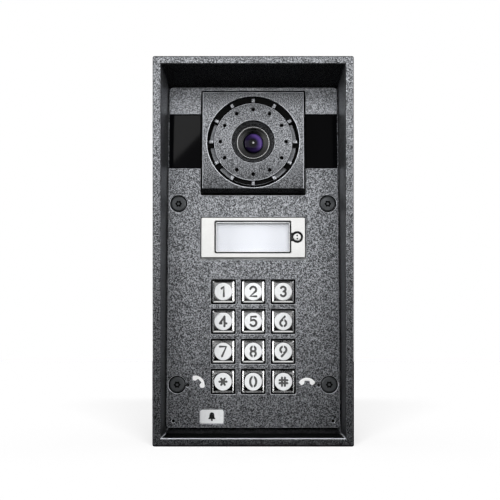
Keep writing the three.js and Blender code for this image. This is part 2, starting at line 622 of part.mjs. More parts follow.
// The outline of the name window: a rectangle joined to a round lug around its screw.
function insertOutline(shrink, depth0, depth1) {
  const width = INSERT.right - INSERT.left - 2 * shrink;
  const height = INSERT.top - INSERT.bottom - 2 * shrink;
  const middleX = (INSERT.left + INSERT.right) / 2;
  const middleZ = (INSERT.bottom + INSERT.top) / 2;
  return join(
    plate(roundedRectangle(middleX, middleZ, width, height, INSERT.corner), depth0, depth1),
    slab(23.4, CALL_SCREW_Z, 3.2, LUG.neck - 2 * shrink, depth0, depth1),
    pin(CALL_SCREW_X, CALL_SCREW_Z, LUG.radius - shrink, depth0, depth1),
  );
}

addPiece("call_key_carrier", cut(
  join(
    slab(0, CALL_Z, 64, 26.5, FLANGE_BACK, FLANGE_FRONT),
    slab(0, CALL_Z, CALL_WIDTH - 0.4, CALL_HEIGHT - 0.4, FLANGE_FRONT - EPS, FRAME_BACK),
    ...callStems.map(({ x, z }) => slab(x, z, STEM_SIZE, STEM_SIZE, STEM_END, FLANGE_BACK + EPS)),
  ),
  pin(CALL_SCREW_X, CALL_SCREW_Z, PILOT.callScrew, FLANGE_BACK - EPS, FRAME_BACK + EPS, SMALL),
), SILICONE);
addPiece("call_key_frame", cut(
  plate(roundedRectangle(0, CALL_Z, CALL_WIDTH, CALL_HEIGHT, 0.6), FRAME_BACK, CALL_FACE),
  insertOutline(0, FRAME_BACK - EPS, CALL_FACE + EPS),
), BRIGHT_METAL);
addPiece("name_card", plate(
  roundedRectangle(-0.6, 11.45, 43, 17.6, 0.5), FRAME_BACK, FRAME_BACK + 0.4,
), PAPER);
addPiece("call_key_window", cut(
  insertOutline(0.3, FRAME_BACK + 0.4, CALL_FACE - 0.3),
  pin(CALL_SCREW_X, CALL_SCREW_Z, PILOT.callScrew, FRAME_BACK, CALL_FACE, SMALL),
  pin(CALL_SCREW_X, CALL_SCREW_Z, CALL_SCREW_HEAD.radius + 0.3, CALL_SCREW_SEAT, CALL_FACE),
), CLEAR);
addPiece("call_key_screw", join(
  pin(CALL_SCREW_X, CALL_SCREW_Z, CALL_SCREW_HEAD.radius, CALL_SCREW_SEAT, CALL_FACE - 0.1),
  pin(CALL_SCREW_X, CALL_SCREW_Z, 0.8, FLANGE_BACK + 0.4, CALL_SCREW_SEAT + EPS, SMALL),
), BRIGHT_METAL);

// ---- electronics in the back of the housing ----------------------------------------------------
const boardFront = MAIN_BOARD_DEPTH + BOARD_THICKNESS;
const TERMINAL_PITCH = 4.8;
const poles = [0, 1, 2, 3, 4, 5].map((i) => 2.2 + i * TERMINAL_PITCH);

addPiece("main_board", cut(
  block(-38, 38, MAIN_BOARD_DEPTH, boardFront, -71, 31),
  ...boardScrews
    .map(({ x, z }) => pin(x, z, PILOT.boardScrew, MAIN_BOARD_DEPTH - EPS, boardFront + EPS, SMALL)),
), BOARD_GREEN);
boardScrews.forEach(({ x, z }, i) => {
  addPiece(`board_screw_${i + 1}`, join(
    pin(x, z, 2.6, boardFront, boardFront + 1.6),
    pin(x, z, 1.2, 4.4, boardFront + EPS, SMALL),
  ), ZINC);
});
addPiece("ethernet_jack", cut(
  slab(-20, -55, 16, 21, boardFront, 24),
  block(-26, -14, 13, 21.5, -66, -48),
), ZINC);
addPiece("terminal_block", cut(
  slab(14, -60, 30, 9, boardFront, 21),
  ...poles.map((x) => slab(x, -61.5, 3.2, 7, 12.6, 16.4)),
  ...poles.map((x) => pin(x, -60.5, 1.4, 18, 21 + EPS, SMALL)),
), TERMINAL_GREEN);
addPiece("door_relay", slab(18, -35, 16, 20, boardFront, 22.5), DARK_PLASTIC);
addPiece("processor", slab(-8, 4, 17, 17, boardFront, boardFront + 1.6), DARK_PLASTIC);

export default intercom;
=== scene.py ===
"""A surface-mounted door intercom: detailed pieces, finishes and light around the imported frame.

Shapes are worked out in millimetres from the CAD boxes. X is right, Z is up, and a depth is the
distance in front of the wall, so that a point at depth d lies at y = -d.
"""
import json
import math
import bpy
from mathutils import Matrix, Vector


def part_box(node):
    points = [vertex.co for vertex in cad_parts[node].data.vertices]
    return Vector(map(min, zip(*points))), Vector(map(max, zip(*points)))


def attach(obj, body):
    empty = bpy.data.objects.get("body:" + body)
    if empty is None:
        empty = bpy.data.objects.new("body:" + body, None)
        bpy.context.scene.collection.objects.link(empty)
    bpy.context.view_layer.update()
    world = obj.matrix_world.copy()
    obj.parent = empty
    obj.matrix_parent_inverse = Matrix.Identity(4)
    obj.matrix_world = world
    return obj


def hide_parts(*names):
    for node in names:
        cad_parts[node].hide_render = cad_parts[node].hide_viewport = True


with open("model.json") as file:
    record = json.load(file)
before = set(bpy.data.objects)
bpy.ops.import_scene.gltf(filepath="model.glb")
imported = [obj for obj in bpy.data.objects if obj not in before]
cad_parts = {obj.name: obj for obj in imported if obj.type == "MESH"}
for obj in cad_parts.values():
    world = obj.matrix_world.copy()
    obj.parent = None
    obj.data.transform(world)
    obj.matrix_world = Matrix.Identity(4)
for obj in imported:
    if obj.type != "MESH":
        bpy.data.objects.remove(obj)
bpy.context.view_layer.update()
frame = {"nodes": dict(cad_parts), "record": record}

from types import SimpleNamespace

import bmesh
import bpy
from mathutils import Matrix, Quaternion, Vector

scene = bpy.context.scene
MM = 0.001


def node_box(node):
    """The extent of a CAD node, in millimetres."""
    low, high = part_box(node)
    box = SimpleNamespace(x0=low.x / MM, x1=high.x / MM, back=-high.y / MM, front=-low.y / MM,
                          z0=low.z / MM, z1=high.z / MM)
    box.x, box.z = (box.x0 + box.x1) / 2, (box.z0 + box.z1) / 2
    box.width, box.height = box.x1 - box.x0, box.z1 - box.z0
    return box


HOUSING = node_box("housing")
PANEL = node_box("front_panel")
TOP_PLATE = node_box("top_plate")
BEZEL = node_box("camera_bezel")
DISC = node_box("camera_disc")
CALL = node_box("call_key_frame")
BADGE = node_box("badge_plate")
KEY_NAMES = ["1", "2", "3", "4", "5", "6", "7", "8", "9", "star", "0", "hash"]
KEYS = {name: node_box(f"key_{name}") for name in KEY_NAMES}
PANEL_SCREWS = [node_box(f"panel_screw_{i}") for i in range(1, 5)]
MICROPHONES = [node_box(f"microphone_{side}") for side in ("left", "right")]
INDICATORS = [node_box(f"indicator_light_{side}") for side in ("left", "right")]
WINDOWS = {side: node_box(f"status_window_{side}") for side in ("left", "right")}

# ---- sizes that the boxes don't give, in millimetres ---------------------------------------------
# Housing: the rim's depth at the bottom, the walls, and the holes, bosses and pillars inside.
SILL_DEPTH = 59.0
WALL = 4.6
BACK_WALL = 3.5
LEDGE_DEPTH = 29.0
REAR_SIDE, REAR_BOTTOM, REAR_TOP = 4.9, 8.4, 4.4
GROOVE_WIDTH, GROOVE_DEPTH = 3.2, 1.8
WALL_HOLE, WALL_HOLE_X, WALL_HOLE_Z = 2.6, 38, 89
CABLE_HOLE, CABLE_SEAT = 8, 10.3
BOSS_RADIUS, BOSS_BORE, BOSS_FOOT, BOSS_FLOOR = 5, 2.3, 3, 12
PILLAR_RADIUS, PILLAR_BORE, PILLAR_FLOOR = 3, 1.5, 3.8
# Front plates: the gaps round the camera, the rounding of an edge, and the small holes' radius.
NOTCH_GAP, NOTCH_BELOW, NOTCH_ABOVE = 1.25, 1.05, 2.4
EDGE = 0.3
SMALL_HOLE = 1.0
# Camera: radii of the disc's parts, and how far its faces bend.
LENS_OPENING = 12.7
EMITTER_CIRCLE, EMITTER_HOLE = 19.3, 1.15
DISC_FACE_RADIUS = 23.0
FLANGE_RADIUS, HOOP_DEPTH = 25.2, 36.9
SLOT_OUTER = 27.1
BOW_UP, BOW_DOWN = 0.3, 0.8
CHIN, CHIN_DEPTH = 2.2, 3.6
DISC_CROWN = 0.8
# Keys, name window and screws.
KEY_HOLE = 14.5
KEY_CAP = 12.75
KEY_FACE_RADIUS = 5.05
CARD_RIGHT, CARD_EDGE = 21.8, 0.75
LUG_RADIUS, LUG_NECK = 2.85, 1.9
DRIVE_HOLE, DRIVE_HOLE_PLACE = 0.5, 0.95
SOCKET, SOCKET_LOBES, SOCKET_PIN = 1.8, 0.25, 0.75
BELL_SIZE = 2.4
# Meshes: points on a fine circle, the angle from which an edge is sharp, and how straight a face
# has to point to count as facing that way.
FINE = 96
SHARP = math.radians(32)
FACING = 0.9


# ---- outlines ------------------------------------------------------------------------------------
def arc(x, z, radius, start, end, steps=8, squash=1.0):
    """Points on an arc from start to end degrees."""
    angles = [math.radians(start + (end - start) * i / steps) for i in range(steps + 1)]
    return [(x + radius * math.cos(a), z + radius * squash * math.sin(a)) for a in angles]


def circle(x, z, radius, count=48):
    return arc(x, z, radius, 0, 360, count)[:-1]


def rounded(corners, steps=6):
    """A closed outline from (x, z, radius) corners, each turned into an arc."""
    outline = []
    for i, (x, z, radius) in enumerate(corners):
        here = Vector((x, z))
        before = (Vector(corners[i - 1][:2]) - here).normalized()
        after = (Vector(corners[(i + 1) % len(corners)][:2]) - here).normalized()
        if radius <= 0:
            outline.append((x, z))
            continue
        half = before.angle(after) / 2
        centre = here + (before + after).normalized() * (radius / math.sin(half))
        start = here + before * (radius / math.tan(half)) - centre
        turn = -before.angle_signed(after)
        sweep = math.copysign(math.pi - abs(turn), turn) * -1
        for k in range(steps + 1):
            a = sweep * k / steps
            c, s = math.cos(a), math.sin(a)
            outline.append((centre.x + start.x * c - start.y * s, centre.y + start.x * s + start.y * c))
    return outline


def rectangle(x, z, width, height, radius=0.0, steps=6):
    w, h = width / 2, height / 2
    return rounded([(x - w, z - h, radius), (x + w, z - h, radius), (x + w, z + h, radius),
                    (x - w, z + h, radius)], steps)


def box_outline(box, radius, more=0.0):
    return rectangle(box.x, box.z, box.width + more, box.height + more, radius)


# ---- meshes --------------------------------------------------------------------------------------
def to_frame(x, depth, z):
    return Vector((x, -depth, z)) * MM


def new_object(name, data):
    obj = bpy.data.objects.new(name, data)
    scene.collection.objects.link(obj)
    return obj


def smooth(mesh):
    mesh.shade_smooth()
    mesh.set_sharp_from_angle(angle=SHARP)


def mesh_object(name, bm):
    """A smooth-shaded object of this bmesh, whose points are already in the frame."""
    bmesh.ops.recalc_face_normals(bm, faces=bm.faces)
    mesh = bpy.data.meshes.new(name)
    bm.to_mesh(mesh)
    bm.free()
    smooth(mesh)
    return new_object(name, mesh)


def evaluated_mesh(obj):
    graph = bpy.context.evaluated_depsgraph_get()
    graph.update()
    return bpy.data.meshes.new_from_object(obj.evaluated_get(graph))


def curve_mesh(name, lines, closed, **settings):
    """The mesh of a curve with these settings along lines of (x, z) points."""
    curve = bpy.data.curves.new(name, "CURVE")
    for setting, value in settings.items():
        setattr(curve, setting, value)
    for line in lines:
        spline = curve.splines.new("POLY")
        spline.points.add(len(line) - 1)
        for point, (x, z) in zip(spline.points, line):
            point.co = (x, z, 0, 1)
        spline.use_cyclic_u = closed
    holder = new_object(name, curve)
    mesh = evaluated_mesh(holder)
    bpy.data.objects.remove(holder)
    return mesh


def plate(name, loops, back, front, edge=0.3, steps=2):
    """A flat piece between two depths with rounded edges. The first loop is its outline, and the
    others are holes through it."""
    lines = [loops[0], *(loop[::-1] for loop in loops[1:])]
    bm = bmesh.new()
    bm.from_mesh(curve_mesh(name, lines, True, dimensions="2D", fill_mode="BOTH",
                            extrude=(front - back) / 2 - edge, bevel_depth=edge,
                            bevel_resolution=steps, offset=-edge))
    bmesh.ops.remove_doubles(bm, verts=bm.verts, dist=1e-4)
    middle = (front + back) / 2
    for vert in bm.verts:
        x, z, lift = vert.co
        vert.co = to_frame(x, middle + lift, z)
    return mesh_object(name, bm)


def turned(name, x, z, profile, segments=FINE):
    """A solid of revolution about a line along Y. The profile is closed, in (radius, depth) or
    (radius, depth, rounding)."""
    bm = bmesh.new()
    rings = []
    for radius, depth in rounded([(*point, 0.0)[:3] for point in profile], 4):
        if radius < 1e-6:
            rings.append([bm.verts.new(to_frame(x, depth, z))])
            continue
        rings.append([bm.verts.new(to_frame(x + radius * math.sin(a), depth, z + radius * math.cos(a)))
                      for a in (2 * math.pi * i / segments for i in range(segments))])
    for ring, following in zip(rings, rings[1:] + rings[:1]):
        for i in range(segments):
            a, b = ring[i % len(ring)], ring[(i + 1) % len(ring)]
            c, d = following[(i + 1) % len(following)], following[i % len(following)]
            corners = list(dict.fromkeys([a, b, c, d]))
            if len(corners) > 2:
                bm.faces.new(corners)
    return mesh_object(name, bm)


def skin(bm, rings, endless=False):
    """Faces over rings of (x, depth, z) points, capped at both ends or led back to the first ring."""
    made = [[bm.verts.new(to_frame(*point)) for point in ring] for ring in rings]
    for ring, following in zip(made, made[1:] + (made[:1] if endless else [])):
        for i, vert in enumerate(ring):
            j = (i + 1) % len(ring)
            bm.faces.new((vert, ring[j], following[j], following[i]))
    if not endless:
        bm.faces.new(made[0][::-1])
        bm.faces.new(made[-1])
    return made


def loft(name, rings, endless=False):
    """A piece that is one skin over rings of points."""
    bm = bmesh.new()
    skin(bm, rings, endless)
    return mesh_object(name, bm)


def block(name, x0, x1, back, front, z0, z1):
    """A plain box, to cut with."""
    bm = bmesh.new()
    bmesh.ops.create_cube(bm, size=1)
    for vert in bm.verts:
        vert.co = to_frame(x0 if vert.co.x < 0 else x1, front if vert.co.y < 0 else back,
                           z0 if vert.co.z < 0 else z1)
    return mesh_object(name, bm)


def carve(target, tools, operation="DIFFERENCE"):
    """Cuts the tools out of the target, or joins them to it, and removes the tools."""
    for tool in tools:
        change = target.modifiers.new("carve", "BOOLEAN")
        change.operation = operation
        change.solver = "EXACT"
        change.use_self = operation == "DIFFERENCE"
        change.object = tool
    mesh = evaluated_mesh(target)
    target.modifiers.clear()
    target.data = mesh
    bm = bmesh.new()
    bm.from_mesh(mesh)
    bmesh.ops.remove_doubles(bm, verts=bm.verts, dist=1e-7)
    bmesh.ops.dissolve_degenerate(bm, dist=1e-7, edges=bm.edges)
    bm.to_mesh(mesh)
    bm.free()
    smooth(mesh)
    for tool in tools:
        bpy.data.objects.remove(tool)
    return target


def pin(name, x, z, radius, back, front, segments=32):
    return turned(name, x, z, [(0, front), (radius, front), (radius, back), (0, back)], segments)


# ---- materials -----------------------------------------------------------------------------------
def new_material(name, color, roughness, metallic=0.0, **sockets):
    """A Principled material with its node tree, for the detail that follows."""
    material = bpy.data.materials.new(name)
    material.use_nodes = True
    shader = material.node_tree.nodes["Principled BSDF"]
    shader.inputs["Base Color"].default_value = (*color, 1)
    shader.inputs["Roughness"].default_value = roughness
    shader.inputs["Metallic"].default_value = metallic
    for socket, value in sockets.items():
        shader.inputs[socket.replace("_", " ")].default_value = value
    return material, shader


def lead(node, outputs):
    """Leads outputs into a node's sockets."""
    for socket, output in outputs.items():
        node.id_data.links.new(output, node.inputs[socket])


def add_node(material, kind, outputs, operation=None, **values):
    """A node with outputs led into some of its sockets, and constants on others."""
    node = material.node_tree.nodes.new(f"ShaderNode{kind}")
    if operation:
        node.operation = operation
    lead(node, outputs)
    for socket, value in values.items():
        node.inputs[socket.replace("_", " ")].default_value = value
    return node


def object_place(material):
    return add_node(material, "TexCoord", {}).outputs["Object"]


def noise(material, scale, detail=2.0, stretch=(1, 1, 1), roughness=0.5):
    """A noise texture in object space; scale is in features per metre."""
    mapping = add_node(material, "Mapping", {"Vector": object_place(material)}, Scale=stretch)
    texture = add_node(material, "TexNoise", {"Vector": mapping.outputs["Vector"]}, Scale=scale,
                       Detail=detail, Roughness=roughness)
    return texture.outputs["Fac"]


def ramp(material, factor, stops):
    """A colour ramp over a factor; stops are (position, colour)."""
    node = add_node(material, "ValToRGB", {"Fac": factor})
    elements = node.color_ramp.elements
    while len(elements) < len(stops):
        elements.new(0.5)
    for element, (position, color) in zip(elements, stops):
        element.position = position
        element.color = (*color, 1)
    return node.outputs["Color"]


def span(material, factor, low, high, start=0.3, end=0.7):
    """A factor mapped to a range of values."""
    return add_node(material, "MapRange", {"Value": factor}, From_Min=start, From_Max=end, To_Min=low,
                    To_Max=high).outputs["Result"]


def vector_math(material, operation, vector, second=(0, 0, 0), result="Vector"):
    node = add_node(material, "VectorMath", {0: vector}, operation)
    node.inputs[1].default_value = second
    return node.outputs[result]


def bump(material, shader, factor, strength, distance):
    node = add_node(material, "Bump", {"Height": factor}, Strength=strength, Distance=distance)
    lead(shader, {"Normal": node.outputs["Normal"]})


def grey(value, tint=(1, 1, 1)):
    return tuple(value * t for t in tint)


def paint_shade_below(material, color, z_low, z_high, least):
    """A colour darkened from one height, in metres, down to another, where it is a share of itself: painted
    shade towards the bottom.
    """
    parts = add_node(material, "SeparateXYZ", {"Vector": object_place(material)})
    share = span(material, parts.outputs["Z"], least, 1, z_low, z_high)
    return add_node(material, "VectorMath", {0: color, "Scale": share}, "SCALE").outputs["Vector"]


def powder_coat(name, tone, spread=0.5, grazing=0.15, metallic=0.95, painted_shade_fade=None):
    """Dark grey metallic powder coat: an orange-peel grain with lighter and darker flecks, and with a fade,
    painted shade towards the bottom.
    """
    material, shader = new_material(name, grey(tone), 0.42, metallic=metallic,
                                    Specular_Tint=(*grey(grazing), 1))
    tint = (0.97, 1.0, 1.06)
    flecks = noise(material, 1700, detail=2, roughness=0.6)
    color = ramp(material, flecks, [(0.4, grey(tone * (1 - spread), tint)), (0.5, grey(tone, tint)),
                                    (0.62, grey(tone * (1 + 2.2 * spread), tint))])
    if painted_shade_fade:
        color = paint_shade_below(material, color, *painted_shade_fade)
    lead(shader, {"Base Color": color, "Roughness": span(material, noise(material, 700), 0.34, 0.44)})
    bump(material, shader, noise(material, 1300, detail=2), 1.0, 0.00014)
    return material


def moulded(name, color, roughness, grain=2500, depth=0.00002, mottling=0.1, **sockets):
    """Moulded plastic or rubber: a slight mottle and a fine matt grain."""
    material, shader = new_material(name, color, roughness, **sockets)
    mottle = noise(material, 60, detail=4)
    darker = tuple(c * (1 - mottling) for c in color)
    lighter = tuple(min(1, c * (1 + mottling)) for c in color)
    spread = roughness * 0.15
    lead(shader, {"Base Color": ramp(material, mottle, [(0.35, darker), (0.65, lighter)]),
                  "Roughness": span(material, noise(material, 300), roughness - spread,
                                    roughness + spread)})
    bump(material, shader, noise(material, grain), 0.25, depth)
    return material


def metal(name, color, roughness, metallic=1.0, unevenness=0.3):
    """Machined metal with an upright brushing and a slightly uneven sheen."""
    material, shader = new_material(name, color, roughness, metallic)
    brushing = noise(material, 900, detail=3, stretch=(1, 1, 12))
    darker = tuple(c * 0.86 for c in color)
    sheen = span(material, noise(material, 150), roughness * (1 - unevenness), roughness * (1 + unevenness))
    lead(shader, {"Base Color": ramp(material, brushing, [(0.3, darker), (0.7, color)]),
                  "Roughness": sheen})
    bump(material, shader, brushing, 0.12, 0.00001)
    return material


PAINT = powder_coat("housing_powder_coat", 0.108, spread=0.8)
# Inner side walls: a lighter copy of the housing coat as painted light, darker towards the bottom as painted
# shade.
WALL_LIGHT_AND_SHADE_PAINT = powder_coat("side_wall_painted_light_and_shade", 0.27, grazing=0.7, painted_shade_fade=(0.02, 0.075, 0.38))
# Hood underside: a darker copy of the housing coat, painted shade.
SHADE_PAINT = powder_coat("hood_underside_painted_shade", 0.09, grazing=0.1)
PANEL_PAINT = powder_coat("panel_powder_coat", 0.112, spread=0.75)
# Camera module coat, darkened towards the module's bottom as painted shade.
MODULE_SHADED_PAINT = powder_coat("camera_coat_with_painted_shade", 0.13, spread=0.65,
                           painted_shade_fade=((BEZEL.z0 - 6) * MM, BEZEL.z * MM, 0.25))
# Top plate: a lighter copy of the housing coat, painted light under the hood.
TOP_LIT_PAINT = powder_coat("top_plate_painted_light_coat", 0.22)
# Disc ribs: a lighter copy of the camera coat, painted light.
RIB_LIT_PAINT = powder_coat("rib_painted_light_coat", 0.2)
# Rounded edges: a light, less metallic copy of the coat, a painted highlight.
EDGE_HIGHLIGHT_PAINT = powder_coat("edge_painted_highlight_coat", 0.38, spread=0.2, metallic=0.3)
# A brighter edge paint, a strong painted highlight.
STRONG_EDGE_HIGHLIGHT = powder_coat("strong_painted_edge_highlight", 0.62, spread=0.05, metallic=0.3)
SHROUD_PAINT = powder_coat("lens_shroud_coat", 0.016, spread=0.9)
# Sill and the ledge under the panel: a near-black copy of the coat, painted shade.
SILL_SHADE_PAINT = powder_coat("sill_painted_shade", 0.022, grazing=0.1)


def coated_lens(x, z, radius):
    """A coated front element: a black pupil with a painted glint, in the coating's violet with a painted
    reflection that is brighter to one side."""
    material, shader = new_material("violet_coated_lens", grey(0.01), 0.04, Specular_IOR_Level=0.08)
    centred = vector_math(material, "SUBTRACT", object_place(material), (x * MM, 0, z * MM))
    across = vector_math(material, "MULTIPLY", centred, (1 / (radius * MM), 0, 1 / (radius * MM)))
    distance = vector_math(material, "LENGTH", across, result="Value")
    # Colours out from the middle: a painted glint, the black pupil, then the coating's violet, brightest in
    # a ring of painted reflection.
    rings = ramp(material, distance, [
        (0.0, grey(2.0)), (0.07, grey(2.0)), (0.11, grey(0.003)), (0.36, (0.004, 0.002, 0.012)),
        (0.5, (0.045, 0.024, 0.12)), (0.76, (0.11, 0.062, 0.26)), (0.9, (0.06, 0.035, 0.15)),
        (1.0, grey(0.004))])
    # A painted reflection: the colour grows brighter towards the upper right.
    lean = vector_math(material, "DOT_PRODUCT", across, (0.9, 0, 0.45), "Value")
    sheen = ramp(material, span(material, lean, 0, 1, -0.8, 0.8),
                 [(0.0, grey(0.05)), (0.5, grey(0.2)), (0.85, grey(0.95))])
    tinted = add_node(material, "Mix", {})
    tinted.data_type = "RGBA"
    tinted.blend_type = "MULTIPLY"
    tinted.inputs["Factor"].default_value = 1.0
    lead(tinted, {"A": rings, "B": sheen})
    lead(shader, {"Base Color": tinted.outputs["Result"]})
    return material


MATERIALS = {
    "painted_aluminium": PANEL_PAINT,
    "rubber": moulded("black_rubber", grey(0.008), 0.75, Specular_IOR_Level=0.2),
    "dark_plastic": moulded("dark_plastic", grey(0.006), 0.5, Specular_IOR_Level=0.12),
    "white_plastic": moulded("white_enamel", (0.76, 0.77, 0.78), 0.3, mottling=0.02),
    "gloss_black": moulded("smoked_gloss_black", (0.001, 0.001, 0.0015), 0.05, depth=0.0000005,
                           Specular_IOR_Level=0.015),
    "circuit_board": moulded("solder_mask", (0.015, 0.13, 0.05), 0.35),
    "zinc": metal("zinc_plate", (0.62, 0.63, 0.64), 0.35),
    "clear_plastic": moulded("clear_window", (0.95, 0.96, 0.97), 0.3, Alpha=0.03, depth=0.0000005),
    "blackened_steel": metal("blackened_steel", (0.06, 0.064, 0.068), 0.5, metallic=0.6),
    "coated_glass": moulded("coated_lens", (0.035, 0.012, 0.11), 0.03, Specular_IOR_Level=0.1,
                            depth=0.0000005),
    "cone_paper": moulded("cone_paper", grey(0.03), 0.9),
    "silicone": moulded("silicone", (0.72, 0.73, 0.73), 0.5),
    "bright_steel": metal("satin_nickel", (0.46, 0.46, 0.455), 0.35, unevenness=0.05),
    "paper": moulded("name_card", (0.78, 0.8, 0.85), 0.8, depth=0.000002, mottling=0.01),
    "terminal_plastic": moulded("terminal_plastic", (0.03, 0.22, 0.08), 0.4),
}
# Black for the infrared board's mask, and for the pieces and faces that paint the shade in gaps, holes and
# channels.
BLACK_MASK_AND_SHADE = moulded("black_mask_and_painted_shade", grey(0.003), 0.7, Specular_IOR_Level=0.05)
INK = moulded("engraving_grey", grey(0.06), 0.6)
SIGN_WHITE = moulded("printed_white", grey(1.0), 0.5, mottling=0.02)
KEY_CHROME = metal("satin_chrome", grey(0.12), 0.14)
# A light band on each key's bevel, a painted highlight.
KEY_EDGE_HIGHLIGHT = metal("key_edge_painted_highlight", grey(0.55), 0.25)


def even_shading(obj):
    """Flat faces keep their own normals, and the roundings between them blend."""
    weighted = obj.modifiers.new("even_shading", "WEIGHTED_NORMAL")
    weighted.keep_sharp = True
    weighted.weight = 100


def paint_edge_highlights(obj):
    """Gives the rounded front edges of a painted plate its second material, a painted highlight, apart from
    those that face down."""
    for polygon in obj.data.polygons:
        polygon.material_index = int(-0.97 < polygon.normal.y < -0.2 and polygon.normal.z > -0.3)


def coat(obj, finishes):
    """Gives a piece these materials in place of its own."""
    obj.data.materials.clear()
    for finish in finishes:
        obj.data.materials.append(finish)


def put(obj, slot, replaces=(), body="root", finishes=()):
    """Coats a finished piece, hides the CAD nodes that it stands for and attaches it to its body. Its
    finishes are the slot's usual material, if none are given."""
    coat(obj, finishes or [MATERIALS[slot]])
    even_shading(obj)
    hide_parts(*replaces)
    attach(obj, body)
    return obj


# ---- camera, light and floor ---------------------------------------------------------------------
EYE = Vector((0, -0.6287, -0.052))
GAZE = Vector((0, 0.9938, 0.1115))


def aim(obj, location, direction):
    """Places a camera or a light and points it."""
    obj.location = location
    obj.rotation_mode = "QUATERNION"
    obj.rotation_quaternion = direction.to_track_quat("-Z", "Y")


def make_camera():
    data = bpy.data.cameras.new("camera")
    data.lens = 73.2
    data.sensor_width = 36
    data.shift_x = -0.0064
    data.shift_y = -0.036
    data.clip_start, data.clip_end = 0.01, 20
    scene.camera = new_object("camera", data)
    aim(scene.camera, EYE, GAZE)


def area_light(name, location, target, size, power):
    """A rectangular light, in metres and watts, that the camera doesn't see."""
    data = bpy.data.lights.new(name, "AREA")
    data.shape = "RECTANGLE"
    data.size, data.size_y = size
    data.energy = power
    lamp = new_object(name, data)
    lamp.visible_camera = False
    aim(lamp, location, Vector(target) - Vector(location))
    return lamp


def make_world():
    world = bpy.data.worlds.new("studio")
    scene.world = world
    world.use_nodes = True
    backdrop = world.node_tree.nodes["Background"]
    backdrop.inputs["Color"].default_value = (1, 1, 1, 1)
    backdrop.inputs["Strength"].default_value = 1.0
    for ray in ("diffuse", "glossy", "transmission"):
        setattr(world.cycles_visibility, ray, False)
    scene.view_settings.view_transform = "Standard"


def make_floor():
    bm = bmesh.new()
    bmesh.ops.create_grid(bm, x_segments=1, y_segments=1, size=3)
    floor = mesh_object("floor", bm)
    floor.location = (0, 0, HOUSING.z0 * MM)
    material, shader = new_material("pale_floor", (0.9, 0.9, 0.9), 0.9)
    floor.data.materials.append(material)
    floor.is_shadow_catcher = True
    floor.visible_glossy = False
    floor.visible_diffuse = False
    floor.visible_shadow = False
    return floor


def link_light(lamp, pieces, state="INCLUDE"):
    """Makes a light reach only these pieces, or every piece but them."""
    receivers = bpy.data.collections.new(f"{lamp.name}_receivers")
    for piece in pieces:
        receivers.objects.link(piece)
    for member in receivers.collection_objects:
        member.light_linking.link_state = state
    lamp.light_linking.receiver_collection = receivers


def make_lights(floor):
    """Soft light from the front and fill light for the sides, back and top, none of which reaches the
    floor, and the floor's own light: an even one, and one from the front that gives the shadow. Each
    is its name, place, target, size and power."""
    lights = [("front_softbox", (0, -0.5, 0.13), (0, 0, 0.13), (0.9, 0.32), 2.45),
              ("back_fill", (0, 0.8, 0), (0, 0, 0), (1.6, 1.4), 6),
              ("top_fill", (0, 0.45, 0.8), (0, 0.45, 0), (1.0, 0.7), 2.4)]
    for side in (-1, 1):
        lights += [(f"side_strip_{side}", (side * 0.45, -0.42, 0.15), (0, -0.04, 0.06), (0.1, 0.46), 1.5),
                   (f"side_fill_{side}", (side * 0.75, 0.35, 0), (0, 0.35, 0), (0.8, 1.2), 2.8)]
    for light in lights:
        link_light(area_light(*light), [floor], "EXCLUDE")
    floor_fill = area_light("floor_fill", (0, -0.2, 1.2), (0, 0, 0), (1.6, 1.6), 30)
    floor_fill.data.use_shadow = False
    link_light(floor_fill, [floor])
    floor_key = area_light("floor_key", (0, -1.26, 0.71), (0, 0, HOUSING.z0 * MM), (0.64, 0.12), 24)
    link_light(floor_key, [floor])


make_camera()
make_world()
make_lights(make_floor())


# ---- housing -------------------------------------------------------------------------------------
def rim_depth(z):
    """Depth of the sloping rim at a height."""
    return SILL_DEPTH + (HOUSING.front - SILL_DEPTH) * (z - HOUSING.z0) / HOUSING.height


def ring_at(inset, depth):
    """Four corners of the housing's section, inset from its outside, at a depth or on the rim."""
    x0, x1 = HOUSING.x0 + inset, HOUSING.x1 - inset
    z0, z1 = HOUSING.z0 + inset, HOUSING.z1 - inset
    return [(x, rim_depth(z) if depth is None else depth, z)
            for x, z in ((x0, z0), (x1, z0), (x1, z1), (x0, z1))]


def back_openings():
    """Solids to cut the gasket groove, the four wall holes and the cable hole with."""
    gasket, grommet = node_box("wall_gasket"), node_box("cable_grommet")
    outer = rectangle(0, 0, gasket.width + 0.4, gasket.height + 0.4, 1.5)
    inner = rectangle(0, 0, gasket.width - 2 * GROOVE_WIDTH, gasket.height - 2 * GROOVE_WIDTH, 1.0)
    tools = [plate("groove", [outer, inner], -1, GROOVE_DEPTH, 0.05, 1)]
    for x in (-WALL_HOLE_X, WALL_HOLE_X):
        for z in (-WALL_HOLE_Z, WALL_HOLE_Z):
            tools.append(turned("wall_hole", x, z, [
                (0, 5), (WALL_HOLE, 5), (WALL_HOLE, 0.6), (WALL_HOLE + 0.8, -0.2), (WALL_HOLE + 0.8, -1),
                (0, -1)], 40))
    tools.append(turned("cable_hole", grommet.x, grommet.z, [
        (0, 5), (CABLE_HOLE, 5), (CABLE_HOLE, 1.2), (CABLE_SEAT, 1.2), (CABLE_SEAT, -1), (0, -1)], 64))
    return tools


